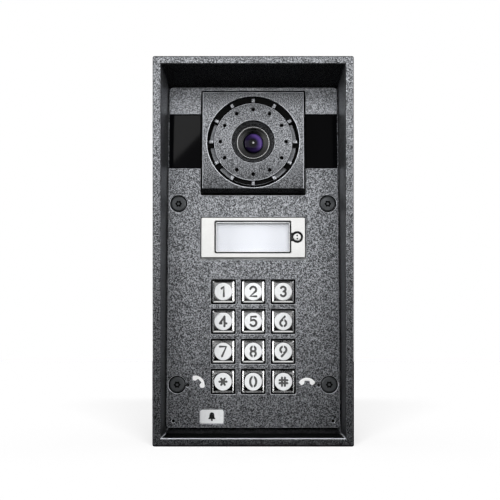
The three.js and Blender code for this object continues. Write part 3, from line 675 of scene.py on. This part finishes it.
def make_housing():
    x0, x1 = HOUSING.x0 + WALL + REAR_SIDE, HOUSING.x1 - WALL - REAR_SIDE
    z0, z1 = HOUSING.z0 + WALL + REAR_BOTTOM, HOUSING.z1 - WALL - REAR_TOP
    rear = [(x0, z0), (x1, z0), (x1, z1), (x0, z1)]
    rings = [
        ring_at(0, 0), ring_at(0, None), ring_at(WALL, None), ring_at(WALL, LEDGE_DEPTH),
        [(x, LEDGE_DEPTH, z) for x, z in rear], [(x, BACK_WALL, z) for x, z in rear],
    ]
    bm = bmesh.new()
    level_of = {vert: level for level, ring in enumerate(skin(bm, rings)) for vert in ring}

    def edges_between(*levels):
        return [edge for edge in bm.edges if sorted(level_of[vert] for vert in edge.verts) == list(levels)]

    outer = edges_between(0, 0) + edges_between(0, 1) + edges_between(1, 1)
    inner_rim = edges_between(2, 2)
    inner_corners = edges_between(2, 3)
    bmesh.ops.bevel(bm, geom=outer, offset=1.0 * MM, segments=4, profile=0.5, affect="EDGES")
    bmesh.ops.bevel(bm, geom=inner_corners + inner_rim, offset=0.8 * MM, segments=4, profile=0.5,
                    affect="EDGES")
    housing = mesh_object("housing_casting", bm)
    carve(housing, back_openings())
    for screw in PANEL_SCREWS:
        boss = turned("boss", screw.x, screw.z, [
            (BOSS_BORE, LEDGE_DEPTH), (BOSS_RADIUS, LEDGE_DEPTH), (BOSS_RADIUS, BOSS_FOOT), (0, BOSS_FOOT),
            (0, BOSS_FLOOR), (BOSS_BORE, BOSS_FLOOR)], 40)
        carve(housing, [boss], "UNION")
        carve(housing, [pin("boss_hole", screw.x, screw.z, BOSS_BORE, BOSS_FLOOR, LEDGE_DEPTH + 1, 40)])
    board = node_box("main_board")
    for number in range(1, 5):
        screw = node_box(f"board_screw_{number}")
        pillar = turned("pillar", screw.x, screw.z, [
            (PILLAR_BORE, board.back), (PILLAR_RADIUS, board.back), (PILLAR_RADIUS, BOSS_FOOT),
            (0, BOSS_FOOT), (0, PILLAR_FLOOR), (PILLAR_BORE, PILLAR_FLOOR)], 32)
        carve(housing, [pillar], "UNION")
    paints = {"outside": PAINT, "wall": WALL_LIGHT_AND_SHADE_PAINT, "hood": SHADE_PAINT, "sill_edge_highlight": STRONG_EDGE_HIGHLIGHT,
              "sill": SILL_SHADE_PAINT}
    put(housing, "painted_aluminium", ["housing"], finishes=list(paints.values()))
    places = list(paints)
    for polygon in housing.data.polygons:
        x, _, z = polygon.center / MM
        normal = polygon.normal
        inside = abs(x) < HOUSING.x1 - WALL + 0.3 and abs(z) < HOUSING.z1 - WALL + 0.3
        # Inner walls get painted light and shade, the hood's underside, the sill and the ledge under the
        # panel painted shade, and the sill's front rounding a painted highlight.
        if inside and abs(normal.x) > FACING:
            polygon.material_index = places.index("wall")
        if inside and abs(normal.z) > FACING:
            polygon.material_index = places.index("hood" if z > 0 else "sill")
        if inside and z < PANEL.z0 and normal.y < -FACING:
            polygon.material_index = places.index("sill")
        if abs(x) < HOUSING.x1 - WALL and z < HOUSING.z0 + WALL + 0.9 and 0.2 < normal.z < FACING:
            polygon.material_index = places.index("sill_edge_highlight")


make_housing()


# ---- front plates --------------------------------------------------------------------------------
def make_front_panel():
    notch_half = BEZEL.width / 2 + NOTCH_GAP
    notch_bottom = BEZEL.z0 - NOTCH_BELOW
    top = PANEL.z1
    outline = rounded([
        (PANEL.x0, PANEL.z0, 1.5), (PANEL.x1, PANEL.z0, 1.5), (PANEL.x1, top, 0.3), (notch_half, top, 0.3),
        (notch_half, notch_bottom, 0.9), (-notch_half, notch_bottom, 0.9), (-notch_half, top, 0.3),
        (PANEL.x0, top, 0.3)])
    holes = [rectangle(key.x, key.z, KEY_HOLE, KEY_HOLE, 0.7) for key in KEYS.values()]
    holes.append(rectangle(CALL.x, CALL.z - 0.3, CALL.width + 1.0, CALL.height + 1.6, 0.5))
    holes += [circle(screw.x, screw.z, screw.width / 2 + 0.55, 40) for screw in PANEL_SCREWS]
    holes += [circle(box.x, box.z, SMALL_HOLE, 20) for box in MICROPHONES + INDICATORS]
    holes.append(box_outline(BADGE, 1.3, 0.3))
    panel = plate("panel_plate", [outline] + holes, PANEL.back, PANEL.front, EDGE)
    put(panel, "painted_aluminium", ["front_panel"], finishes=[PANEL_PAINT, EDGE_HIGHLIGHT_PAINT, STRONG_EDGE_HIGHLIGHT])
    paint_edge_highlights(panel)
    # The lower rounded edge of the camera notch gets the strong painted highlight.
    for polygon in panel.data.polygons:
        x, _, z = polygon.center / MM
        if polygon.material_index and abs(x) < notch_half and abs(z - notch_bottom) < 0.5:
            polygon.material_index = 2
    # Black discs behind the small holes, painted shade.
    for number, box in enumerate(MICROPHONES + INDICATORS, 1):
        black_shade = pin(f"hole_membrane_{number}", box.x, box.z, SMALL_HOLE - 0.05, PANEL.back + 1.0,
                       PANEL.back + 1.6, 20)
        put(black_shade, "rubber", finishes=[BLACK_MASK_AND_SHADE])
    # Black rings behind the screw holes, painted shade in the gaps round the screws.
    for number, screw in enumerate(PANEL_SCREWS, 1):
        seat = turned(f"screw_seat_{number}", screw.x, screw.z, [
            (2.4, PANEL.back + 1.0), (screw.width / 2 + 0.5, PANEL.back + 1.0),
            (screw.width / 2 + 0.5, PANEL.back + 0.05), (2.4, PANEL.back + 0.05)], 40)
        put(seat, "rubber", finishes=[BLACK_MASK_AND_SHADE])


def make_top_plate():
    notch_half = BEZEL.width / 2 + NOTCH_GAP
    notch_top = BEZEL.z1 + NOTCH_ABOVE
    outline = rounded([
        (TOP_PLATE.x0, TOP_PLATE.z0, 0.3), (-notch_half, TOP_PLATE.z0, 0.3), (-notch_half, notch_top, 0.6),
        (notch_half, notch_top, 0.6), (notch_half, TOP_PLATE.z0, 0.3), (TOP_PLATE.x1, TOP_PLATE.z0, 0.3),
        (TOP_PLATE.x1, TOP_PLATE.z1, 2.2), (TOP_PLATE.x0, TOP_PLATE.z1, 2.2)])
    top = plate("top_cover", [outline], TOP_PLATE.back, TOP_PLATE.front, EDGE)
    put(top, "painted_aluminium", ["top_plate"], finishes=[TOP_LIT_PAINT, EDGE_HIGHLIGHT_PAINT])
    paint_edge_highlights(top)
    # A black strip in the gap above the camera module, painted shade.
    top_gap_shade = plate("module_gap_shade", [rectangle(BEZEL.x, BEZEL.z1 + 1.2, BEZEL.width + 2.2, 2.2, 0.3)],
                      TOP_PLATE.back + 0.05, TOP_PLATE.back + 1.0, 0.1)
    put(top_gap_shade, "rubber", finishes=[BLACK_MASK_AND_SHADE])


def make_status_windows():
    for side, box in WINDOWS.items():
        pane = plate(f"gloss_window_{side}", [box_outline(box, 0.4)], box.back, box.front, 0.25)
        put(pane, "gloss_black", [f"status_window_{side}"])


def make_window_reflection():
    """A tilted card beside the camera that only the left window mirrors."""
    card = area_light("reflection_card", (-0.1016, -0.45, 0.1825), (-0.1016, 0, 0.1825), (0.12, 0.1), 0.6)
    card.rotation_quaternion = Quaternion((0, 1, 0), math.radians(-43)) @ card.rotation_quaternion
    link_light(card, [bpy.data.objects["gloss_window_left"]])


def make_angled_light():
    """Tall cards at both front corners, for the sheen of the painted fronts seen from an angle."""
    painted = [bpy.data.objects[name]
               for name in ("panel_plate", "top_cover", "bezel_plate", "disc_cover", "disc_ribs")]
    for side in (-1, 1):
        card = area_light(f"corner_card_{side}", (side * 0.7, -0.45, -0.05), (0, 0, 0), (0.6, 1.0), 1.7)
        link_light(card, painted)


make_front_panel()
make_top_plate()
make_status_windows()
make_window_reflection()


# ---- camera --------------------------------------------------------------------------------------
def around(count, radius, turn=0.0):
    """Evenly spaced places on a circle round the camera's axis, with their angles."""
    angles = [2 * math.pi * i / count + turn for i in range(count)]
    return [(BEZEL.x + radius * math.sin(a), BEZEL.z + radius * math.cos(a), a) for a in angles]


def rib_block(name, back, front, low_front):
    """A short rib across the ring channel, low at its outer end, before it is turned."""
    inner, knee, outer, half = DISC_FACE_RADIUS + 0.6, 25.7, SLOT_OUTER - 0.35, 0.8
    side = [(inner, back), (outer, back), (outer, low_front), (knee, front), (inner, front)]
    return loft(name, [[(x, depth, z) for z, depth in side] for x in (-half, half)])


def bow(obj):
    """Curves the front of the camera module slightly back towards its top and bottom."""
    reach = BEZEL.height / 2
    for vert in obj.data.vertices:
        depth = -vert.co.y / MM
        if depth > BEZEL.front - 3:
            height = (vert.co.z / MM - BEZEL.z) / reach
            vert.co.y += (BOW_UP if height > 0 else BOW_DOWN) * height ** 2 * MM


def crown(disc):
    """Raises the disc's face gently towards the lens opening."""
    for vert in disc.data.vertices:
        reach = math.hypot(vert.co.x / MM - BEZEL.x, vert.co.z / MM - BEZEL.z)
        slope = (DISC_FACE_RADIUS - reach) / (DISC_FACE_RADIUS - LENS_OPENING)
        if -vert.co.y / MM > DISC.front - 1 and slope > 0:
            vert.co.y -= DISC_CROWN * min(slope, 1) * MM


def channel_shadow_strips():
    """Black strips in the ring channel: over its top, round its bottom beside the disc and just below four
    ribs, painting the shadows there. Each is (start, end, inner radius, outer radius), with its angles
    clockwise from the top."""
    bm = bmesh.new()
    bottom, top = DISC.back + 0.4, DISC.front - 2.6
    inner, outer = DISC_FACE_RADIUS + 0.05, SLOT_OUTER - 0.15
    strips = [(-64, 64, inner, outer), (148, 212, inner, inner + 1.9)]
    for rib, length in ((90, 7), (120, 9)):
        strips += [(rib, rib + length, inner, outer), (-rib - length, -rib, inner, outer)]
    for start, end, low, high in strips:
        count = max(2, round((end - start) / 4))
        angles = [math.radians(start + (end - start) * i / count) for i in range(count + 1)]
        section = ((low, bottom), (high, bottom), (high, top), (low, top))
        skin(bm, [[(BEZEL.x + radius * math.sin(a), depth, BEZEL.z + radius * math.cos(a))
                   for radius, depth in section] for a in angles])
    return mesh_object("channel_shadow_strips", bm)


def bezel_ring(share, inset, depth, chin=CHIN):
    """A ring of the bezel at a depth: its square outline at share 0, its round opening at share 1. The
    outline's lower edge is raised by the chin, which slopes back under the face."""
    ring = []
    for i in range(FINE):
        a = 2 * math.pi * i / FINE
        across, up = math.sin(a), math.cos(a)
        square = max(abs(across), abs(up))
        outer = Vector((across * (BEZEL.width / 2 - inset), up * (BEZEL.height / 2 - inset))) / square
        outer.y = max(outer.y, chin - BEZEL.height / 2)
        spot = outer.lerp(Vector((across, up)) * (SLOT_OUTER + inset), share)
        ring.append((BEZEL.x + spot.x, depth, BEZEL.z + spot.y))
    return ring


def make_camera_module():
    x, z = BEZEL.x, BEZEL.z
    face = BEZEL.front
    back = node_box("camera_gasket").front
    rounding = [(0, 0.35), (0.1, 0.1), (0.35, 0)]
    rings = [bezel_ring(0, 0, back, 0), bezel_ring(0, 0, face - CHIN_DEPTH, 0)]
    rings += [bezel_ring(0, inset, face - drop) for inset, drop in rounding]
    rings += [bezel_ring(i / 6, 0.35, face) for i in range(1, 6)]
    rings += [bezel_ring(1, inset, face - drop) for inset, drop in rounding[::-1]]
    rings.append(bezel_ring(1, 0, back))
    bezel = loft("bezel_plate", rings, endless=True)
    bow(bezel)
    put(bezel, "painted_aluminium", ["camera_bezel"], finishes=[MODULE_SHADED_PAINT, STRONG_EDGE_HIGHLIGHT])
    # The bezel's front edges get the strong painted highlight.
    paint_edge_highlights(bezel)
    front = DISC.front
    steps = [LENS_OPENING + (DISC_FACE_RADIUS - LENS_OPENING) * i / 6 for i in range(1, 6)]
    under = front - 2.2
    disc = turned("disc_cover", x, z, [
        (LENS_OPENING, front, EDGE), *((radius, front) for radius in steps), (DISC_FACE_RADIUS, front, EDGE),
        (DISC_FACE_RADIUS, HOOP_DEPTH), (FLANGE_RADIUS, HOOP_DEPTH + 0.8), (FLANGE_RADIUS, DISC.back),
        (DISC_FACE_RADIUS - 1.5, DISC.back), (DISC_FACE_RADIUS - 1.5, under), (LENS_OPENING, under)])
    carve(disc, [pin("emitter_hole", px, pz, EMITTER_HOLE, front - 3, front + 1, 20)
                 for px, pz, _ in around(12, EMITTER_CIRCLE)])
    inner, outer = FLANGE_RADIUS + 0.1, SLOT_OUTER - 0.35
    # A black hoop at the channel's floor, painted shade.
    hoop = turned("disc_hoop_shade", x, z, [(inner, HOOP_DEPTH), (outer, HOOP_DEPTH), (outer, DISC.back),
                                      (inner, DISC.back)])
    put(hoop, "dark_plastic", finishes=[BLACK_MASK_AND_SHADE])
    put(channel_shadow_strips(), "rubber", finishes=[BLACK_MASK_AND_SHADE])
    ribs = []
    for _, _, angle in around(12, 1):
        rib = rib_block("rib" if ribs else "disc_ribs", DISC.back, front - 0.45, front - 2.4)
        rib.data.transform(Matrix.Rotation(angle, 4, "Y"))
        rib.data.transform(Matrix.Translation(to_frame(x, 0, z)))
        ribs.append(rib)
    put(carve(ribs[0], ribs[1:], "UNION"), "painted_aluminium", finishes=[RIB_LIT_PAINT])
    crown(disc)
    bow(disc)
    put(disc, "painted_aluminium", ["camera_disc"], finishes=[MODULE_SHADED_PAINT, STRONG_EDGE_HIGHLIGHT, EDGE_HIGHLIGHT_PAINT])
    # The disc's rounded rims get the strong painted highlight, and its flange and skirt outside the face the
    # light edge paint, painted light.
    for polygon in disc.data.polygons:
        reach = math.hypot(polygon.center.x / MM - x, polygon.center.z / MM - z)
        rim = DISC_FACE_RADIUS - 0.45 < reach < DISC_FACE_RADIUS + 0.05 or reach < LENS_OPENING + 0.4
        polygon.material_index = int(rim and -0.97 < polygon.normal.y < -0.2)
        if reach > DISC_FACE_RADIUS + 0.05:
            polygon.material_index = 2


def make_lens():
    x, z = BEZEL.x, BEZEL.z
    barrel = node_box("lens_barrel")
    wide, narrow = 12.2, 10.0
    top, bottom = barrel.front, barrel.front - 3.2
    drops = 6
    stair = []
    for i in range(drops + 1):
        radius = wide + (narrow - wide) * i / drops
        stair.append((radius, top + (bottom - top) * i / drops, 0.05))
        if i < drops:
            stair.append((radius, top + (bottom - top) * (i + 1) / drops, 0.05))
    outside = [(12.4, 37.6), (12.9, 37.6), (12.9, 36.4), (15.5, 36.4), (15.5, 35.2), (11.4, 35.2),
               (11.4, barrel.back), (9.9, barrel.back)]
    body = turned("lens_shroud", x, z, [(12.4, top, 0.1)] + outside + stair[::-1])
    put(body, "dark_plastic", ["lens_barrel"], finishes=[SHROUD_PAINT])
    ring = node_box("lens_ring")
    outer = ring.width / 2
    hoop = turned("lens_hoop", x, z, [
        (outer, ring.front - 0.3, 0.1), (outer, ring.back), (6.2, ring.back), (6.2, ring.back + 2.2, 0.1),
        (7.1, ring.back + 2.4, 0.1), (7.1, ring.back + 2.9, 0.1), (8.2, ring.back + 3.2, 0.1),
        (8.2, ring.front - 0.5, 0.1), (8.9, ring.front - 0.3, 0.1)])
    put(hoop, "blackened_steel", ["lens_ring"], finishes=[metal("anodised_lens_ring", grey(0.03), 0.3)])
    trim = turned("lens_trim", x, z, [(outer, ring.front - 0.5), (outer, ring.front, 0.15),
                                      (outer - 0.4, ring.front, 0.15), (outer - 0.4, ring.front - 0.5)])
    put(trim, "zinc", finishes=[metal("lens_trim_metal", grey(0.4), 0.25)])
    glass = node_box("lens_glass")
    radius, height = glass.width / 2, 2.0
    dome = arc(0, 0, 1, 90, 0, 14)
    profile = [(radius * px, glass.front - height + height * pz) for px, pz in dome]
    profile[0] = (0, glass.front)
    lens = turned("lens_front_element", x, z, profile + [(radius, glass.back), (0, glass.back)])
    put(lens, "coated_glass", ["lens_glass"], finishes=[coated_lens(x, z, radius)])


make_camera_module()
make_lens()
make_angled_light()


# ---- keys ----------------------------------------------------------------------------------------
STROKE = 0.66
BRIDGE = 0.6
DIGITS = {
    "0": [arc(0, 0, 1.75, 90, 450, 32, 1.57)],
    "1": [[(-0.95, 1.75), (0.3, 2.75), (0.3, -2.75)]],
    "2": [arc(0, 1.05, 1.7, 165, -35, 18) + [(-1.75, -2.75), (1.8, -2.75)]],
    "3": [arc(0, 1.35, 1.4, 150, -90, 18) + arc(0, -1.25, 1.5, 90, -150, 18)[1:]],
    "4": [[(0.75, -2.75), (0.75, 2.75)], [(0.75, 2.75), (-1.9, -1.2)], [(-1.9, -1.2), (1.85, -1.2)]],
    "5": [[(1.5, 2.75), (-1.25, 2.75), (-1.45, 0.35)] + arc(0, -0.95, 1.8, 120, -150, 20)],
    "6": [arc(0, -1.0, 1.75, 135, 495, 28), [(0.9, 2.75), (-1.3, 0.2)]],
    "7": [[(-1.8, 2.75), (1.8, 2.75), (-0.6, -2.75)]],
    "8": [arc(0, 1.4, 1.35, 90, 450, 24), arc(0, -1.3, 1.5, 90, 450, 24)],
    "9": [arc(0, 1.0, 1.75, 135, 495, 28), [(-0.9, -2.75), (1.3, -0.2)]],
    "star": [[(2.0 * math.cos(a), 2.0 * math.sin(a)), (-2.0 * math.cos(a), -2.0 * math.sin(a))]
             for a in (0, math.pi / 3, 2 * math.pi / 3)],
    "hash": [[(-0.85, 2.3), (-0.85, -2.3)], [(0.85, 2.3), (0.85, -2.3)], [(-2.2, 0.85), (2.2, 0.85)],
             [(-2.2, -0.85), (2.2, -0.85)]],
}
# The stencil digits' bridges, as (x, bottom, top).
BRIDGES = {
    "0": [(0, -4, 4)],
    "4": [(-0.1, -2.0, -0.4)],
    "6": [(0, -4, -1.8), (0.35, 0.1, 1.5)],
    "8": [(0, 1.9, 4), (0, -4, -1.9)],
    "9": [(0, 1.8, 4), (-0.35, -1.5, -0.1)],
}


def stroke_solid(name, strokes, x, z, depth, radius, flatten):
    """Round strokes along these lines, as one solid to engrave with."""
    bm = bmesh.new()
    for line in strokes:
        closed = math.dist(line[0], line[-1]) < 1e-6
        bm.from_mesh(curve_mesh(name, [line[:-1] if closed else line], closed, dimensions="3D",
                                bevel_depth=radius, bevel_resolution=2, use_fill_caps=True))
        if not closed:
            for px, pz in (line[0], line[-1]):
                bmesh.ops.create_uvsphere(bm, u_segments=12, v_segments=8, radius=radius * 1.002,
                                          matrix=Matrix.Translation((px, pz, 0)))
    bmesh.ops.remove_doubles(bm, verts=bm.verts, dist=1e-4)
    for vert in bm.verts:
        px, pz, lift = vert.co
        vert.co = to_frame(x + px, depth + lift * flatten, z + pz)
    return mesh_object(name, bm)


def square_loft(name, box, rings):
    """A piece with square sections about a box's middle, as (half width, corner radius, depth)."""
    return loft(name, [[(x, depth, z) for x, z in rectangle(box.x, box.z, 2 * half, 2 * half, radius, 8)]
                       for half, radius, depth in rings])


def make_key(name, box):
    """A chromed cap with bevelled edges and a gently domed top, around a round white face."""
    flange, cap = box.width / 2, KEY_CAP / 2
    seat, top = box.back + 2.3, box.front - 0.5
    key = square_loft(f"keycap_{name}", box, [
        (cap, 0.7, seat + 0.9), (cap, 0.7, top - 1.1), (cap - 0.15, 0.6, top - 0.86),
        (cap - 0.85, 0.5, top - 0.54), (cap - 0.95, 0.5, top - 0.3), (cap - 1.2, 1.5, top - 0.2),
        (KEY_FACE_RADIUS + 0.12, KEY_FACE_RADIUS, top)])
    put(key, "bright_steel", [f"key_{name}"], body=f"key_{name}", finishes=[KEY_CHROME, KEY_EDGE_HIGHLIGHT])
    # A band on each key's bevel gets the painted highlight.
    for polygon in key.data.polygons:
        depth = -polygon.center.y / MM
        polygon.material_index = int(top - 0.8 < depth < top - 0.6)
    # A black rubber skirt under the cap; its black also stands for the shade in the gap round the cap,
    # painted shade.
    skirt = square_loft(f"keyskirt_{name}", box, [
        (2.0, 0.2, box.back), (2.0, 0.2, seat), (flange, 0.5, seat), (flange, 0.5, seat + 1.0)])
    put(skirt, "rubber", body=f"key_{name}")
    face = turned(f"keyface_{name}", box.x, box.z, [
        (0, box.front), (KEY_FACE_RADIUS, box.front, 0.15), (KEY_FACE_RADIUS, top + 0.01),
        (0, top + 0.01)], 64)
    tool = stroke_solid("digit", DIGITS[name], box.x, box.z, box.front + 0.05, STROKE, 0.7)
    bridges = [block("bridge", box.x + x - BRIDGE / 2, box.x + x + BRIDGE / 2, top, box.front + 2,
                     box.z + z0, box.z + z1) for x, z0, z1 in BRIDGES.get(name, [])]
    if bridges:
        carve(tool, bridges)
    for obj in (face, tool):
        coat(obj, [MATERIALS["white_plastic"], INK])
    for polygon in tool.data.polygons:
        polygon.material_index = 1
    carve(face, [tool])
    even_shading(face)
    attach(face, f"key_{name}")


def make_key_lights():
    """The light from above, which doesn't reach the key caps or the floor, and the caps' own bounce
    from below."""
    caps = [bpy.data.objects[f"keycap_{name}"] for name in KEY_NAMES]
    overhead = area_light("overhead_light", (0, -0.3, 0.32), (0, -0.04, 0), (0.3, 0.16), 0.35)
    link_light(overhead, [*caps, bpy.data.objects["floor"]], "EXCLUDE")
    bounce = area_light("key_bounce", (0, -0.36, -0.42), (0, -0.03, -0.03), (0.5, 0.3), 0.7)
    link_light(bounce, caps)


for key_name, key_box in KEYS.items():
    make_key(key_name, key_box)
make_key_lights()


# ---- call key ------------------------------------------------------------------------------------
def insert_outline(grow):
    """The name window's outline: a rectangle with a neck to a round lug around its screw."""
    screw = node_box("call_key_screw")
    window = node_box("call_key_window")
    x0, x1 = window.x0 - grow, CARD_RIGHT + grow
    z0, z1 = window.z0 - grow, window.z1 + grow
    neck = LUG_NECK + grow
    lug = LUG_RADIUS + grow
    start = math.degrees(math.asin(neck / lug))
    lug_arc = arc(screw.x, screw.z, lug, start - 180, 180 - start, 24)
    corners = [(x0, z0, 1.0), (x1, z0, 1.0), (x1, screw.z - neck, 0.0)]
    corners += [(x, z, 0.0) for x, z in lug_arc]
    corners += [(x1, screw.z + neck, 0.0), (x1, z1, 1.0), (x0, z1, 1.0)]
    return rounded(corners)


def make_name_window(window, screw):
    """The clear window with its white border and black seal, and its lug under the screw."""
    middle, width = (window.x0 + CARD_RIGHT) / 2, CARD_RIGHT - window.x0

    def inside(margin_x, margin_z, radius):
        return rectangle(middle, window.z, width - margin_x, window.height - margin_z, radius)

    seal = plate("window_seal", [insert_outline(0.4), inside(1.4, 1.4, 0.8)], CALL.front - 1.6,
                 CALL.front - 0.8, 0.1)
    put(seal, "rubber", body="call_key")
    pane_right, neck_low, neck_high = screw.x - LUG_RADIUS, screw.z - LUG_NECK, screw.z + LUG_NECK
    corners = [(window.x0, window.z0, 1), (CARD_RIGHT, window.z0, 1), (CARD_RIGHT, neck_low, 0),
               (pane_right, neck_low, 0), (pane_right, neck_high, 0), (CARD_RIGHT, neck_high, 0),
               (CARD_RIGHT, window.z1, 1), (window.x0, window.z1, 1)]
    pane = plate("name_window", [rounded(corners)], window.back + 0.1, window.front, 0.2)
    put(pane, "clear_plastic", ["call_key_window"], body="call_key")
    border = plate("name_window_border", [inside(0.7, 0.5, 0.8), inside(2 * CARD_EDGE, 2 * CARD_EDGE, 0.5)],
                   window.front - 0.9, window.front + 0.05, 0.12)
    put(border, "white_plastic", body="call_key")
    radius, back, front = LUG_RADIUS - 0.1, window.back + 0.1, screw.front - 1.6
    lug = turned("name_window_lug", screw.x, screw.z,
                 [(0.9, back), (radius, back), (radius, front, 0.2), (0.9, front)], 48)
    put(lug, "dark_plastic", body="call_key", finishes=[MATERIALS["rubber"]])


def make_name_screw(screw):
    """The two-hole screw of the name window, with a black disc in each hole as painted shade."""
    radius, under = screw.width / 2, screw.front - 1.5
    head = turned("name_window_screw", screw.x, screw.z, [
        (0, screw.front), (radius, screw.front, 0.3), (radius, under), (0.8, under), (0.8, screw.back),
        (0, screw.back)], 48)
    for number, z in enumerate((screw.z - DRIVE_HOLE_PLACE, screw.z + DRIVE_HOLE_PLACE), 1):
        carve(head, [pin("drive", screw.x, z, DRIVE_HOLE, screw.front - 0.7, screw.front + 1, 20)])
        shade = pin(f"drive_hole_{number}", screw.x, z, DRIVE_HOLE - 0.04, screw.front - 0.8,
                    screw.front - 0.4, 20)
        put(shade, "dark_plastic", body="call_key")
    put(head, "bright_steel", ["call_key_screw"], body="call_key")


def make_call_key():
    metal_plate = plate("call_key_plate", [box_outline(CALL, 0.7), insert_outline(0.5)], CALL.back,
                        CALL.front, 0.2)
    put(metal_plate, "bright_steel", ["call_key_frame"], body="call_key")
    screw = node_box("call_key_screw")
    make_name_window(node_box("call_key_window"), screw)
    make_name_screw(screw)
    card = node_box("name_card")
    sheet = plate("name_label", [box_outline(card, 0.6)], card.back, card.front, 0.08, 1)
    put(sheet, "paper", ["name_card"], body="call_key")


make_call_key()


# ---- screws, badge and signs ---------------------------------------------------------------------
def lobed(x, z, radius, amount, count=6):
    """The outline of a six-lobed socket."""
    return [(x + (radius + amount * math.cos(count * a)) * math.cos(a),
             z + (radius + amount * math.cos(count * a)) * math.sin(a))
            for a in (2 * math.pi * i / 72 for i in range(72))]


def make_panel_screws():
    for number, box in enumerate(PANEL_SCREWS, 1):
        radius = box.width / 2
        head = turned(f"security_screw_{number}", box.x, box.z, [
            (0, box.front), (radius - 0.7, box.front, 0.2), (radius, box.front - 0.45, 0.15),
            (radius, box.front - 1.7), (1.95, box.front - 1.7), (1.95, box.back + 0.5), (1.5, box.back),
            (0, box.back)], 64)
        outline = [lobed(box.x, box.z, SOCKET, SOCKET_LOBES), circle(box.x, box.z, SOCKET_PIN, 20)]
        socket = plate("socket", outline, box.front - 1.2, box.front + 1, 0.02, 0)
        carve(head, [socket])
        put(head, "blackened_steel", [f"panel_screw_{number}"],
            finishes=[MATERIALS["blackened_steel"], BLACK_MASK_AND_SHADE])
        # The socket's sunken faces get black, painted shade.
        for polygon in head.data.polygons:
            across, _, up = polygon.center / MM
            in_socket = 0.6 < math.hypot(across - box.x, up - box.z) < 2.1
            sunk = -polygon.center.y / MM < box.front - 0.1
            polygon.material_index = int(in_socket and sunk)


def bell_outline(x, z, size):
    """A plain bell, the generic sign for a door station."""
    right = [(0, 1.0), (0.28, 0.95), (0.5, 0.72), (0.58, 0.35), (0.62, -0.1), (0.78, -0.42), (0.95, -0.6)]
    outline = [(-px, pz) for px, pz in right[::-1]] + right[1:]
    return [(x + px * size, z + pz * size) for px, pz in outline[::-1]]


def make_badge():
    badge = plate("bell_badge", [box_outline(BADGE, 1.2)], BADGE.back, BADGE.front - 0.05, 0.12)
    put(badge, "white_plastic", ["badge_plate"])
    bell = plate("bell_sign", [bell_outline(BADGE.x, BADGE.z, BELL_SIZE)], BADGE.front - 0.15,
                 BADGE.front, 0.02, 0)
    put(bell, "dark_plastic")
    clapper = pin("bell_clapper", BADGE.x, BADGE.z - 1.95, 0.55, BADGE.front - 0.15, BADGE.front, 24)
    put(clapper, "dark_plastic")


def handset_outline(x, z, length, turn):
    """A telephone handset seen from the side: an arched grip between two rounded ends."""
    top = [(px, pz, 0.0) for px, pz in arc(0, -0.736, 1.196, 135, 45, 12)]
    right = [(1.06, -0.12, 0.2), (0.68, -0.5, 0.16), (0.36, -0.3, 0.1), (0.3, 0.08, 0.08)]
    left = [(-px, pz, radius) for px, pz, radius in right[::-1]]
    c, s = math.cos(turn) * length / 2, math.sin(turn) * length / 2
    return [(x + px * c - pz * s, z + px * s + pz * c) for px, pz in rounded(top + right + left)][::-1]


def make_handset_signs():
    places = [("answer", -31.2, -72.1, 9.3, math.radians(-45)), ("hang_up", 31.1, -72.3, 9.3, 0.0)]
    for name, x, z, length, turn in places:
        sign = plate(f"{name}_sign", [handset_outline(x, z, length, turn)], PANEL.front - 0.1,
                     PANEL.front + 0.06, 0.03, 1)
        put(sign, "white_plastic", finishes=[SIGN_WHITE])


def make_grommet():
    box = node_box("cable_grommet")
    outer = box.width / 2
    ring = turned("cable_seal", box.x, box.z, [
        (outer, box.front, 0.4), (outer, BACK_WALL, 0.2), (CABLE_HOLE - 0.3, BACK_WALL),
        (CABLE_HOLE - 0.3, 1.2), (CABLE_SEAT - 0.3, 1.2), (CABLE_SEAT - 0.3, box.back, 0.3),
        (5.2, box.back, 0.3), (4.5, 1.5, 0.3), (4.5, box.front, 0.4)], 64)
    put(ring, "rubber", ["cable_grommet"])


make_panel_screws()
make_badge()
make_handset_signs()
make_grommet()

# ---- pieces that keep their CAD shape ------------------------------------------------------------
for part in frame["record"]["subparts"]:
    node = frame["nodes"][part["node"]]
    usual = MATERIALS[part["material_slot"]]
    coat(node, [BLACK_MASK_AND_SHADE if part["node"] == "infrared_board" else usual])
    smooth(node.data)
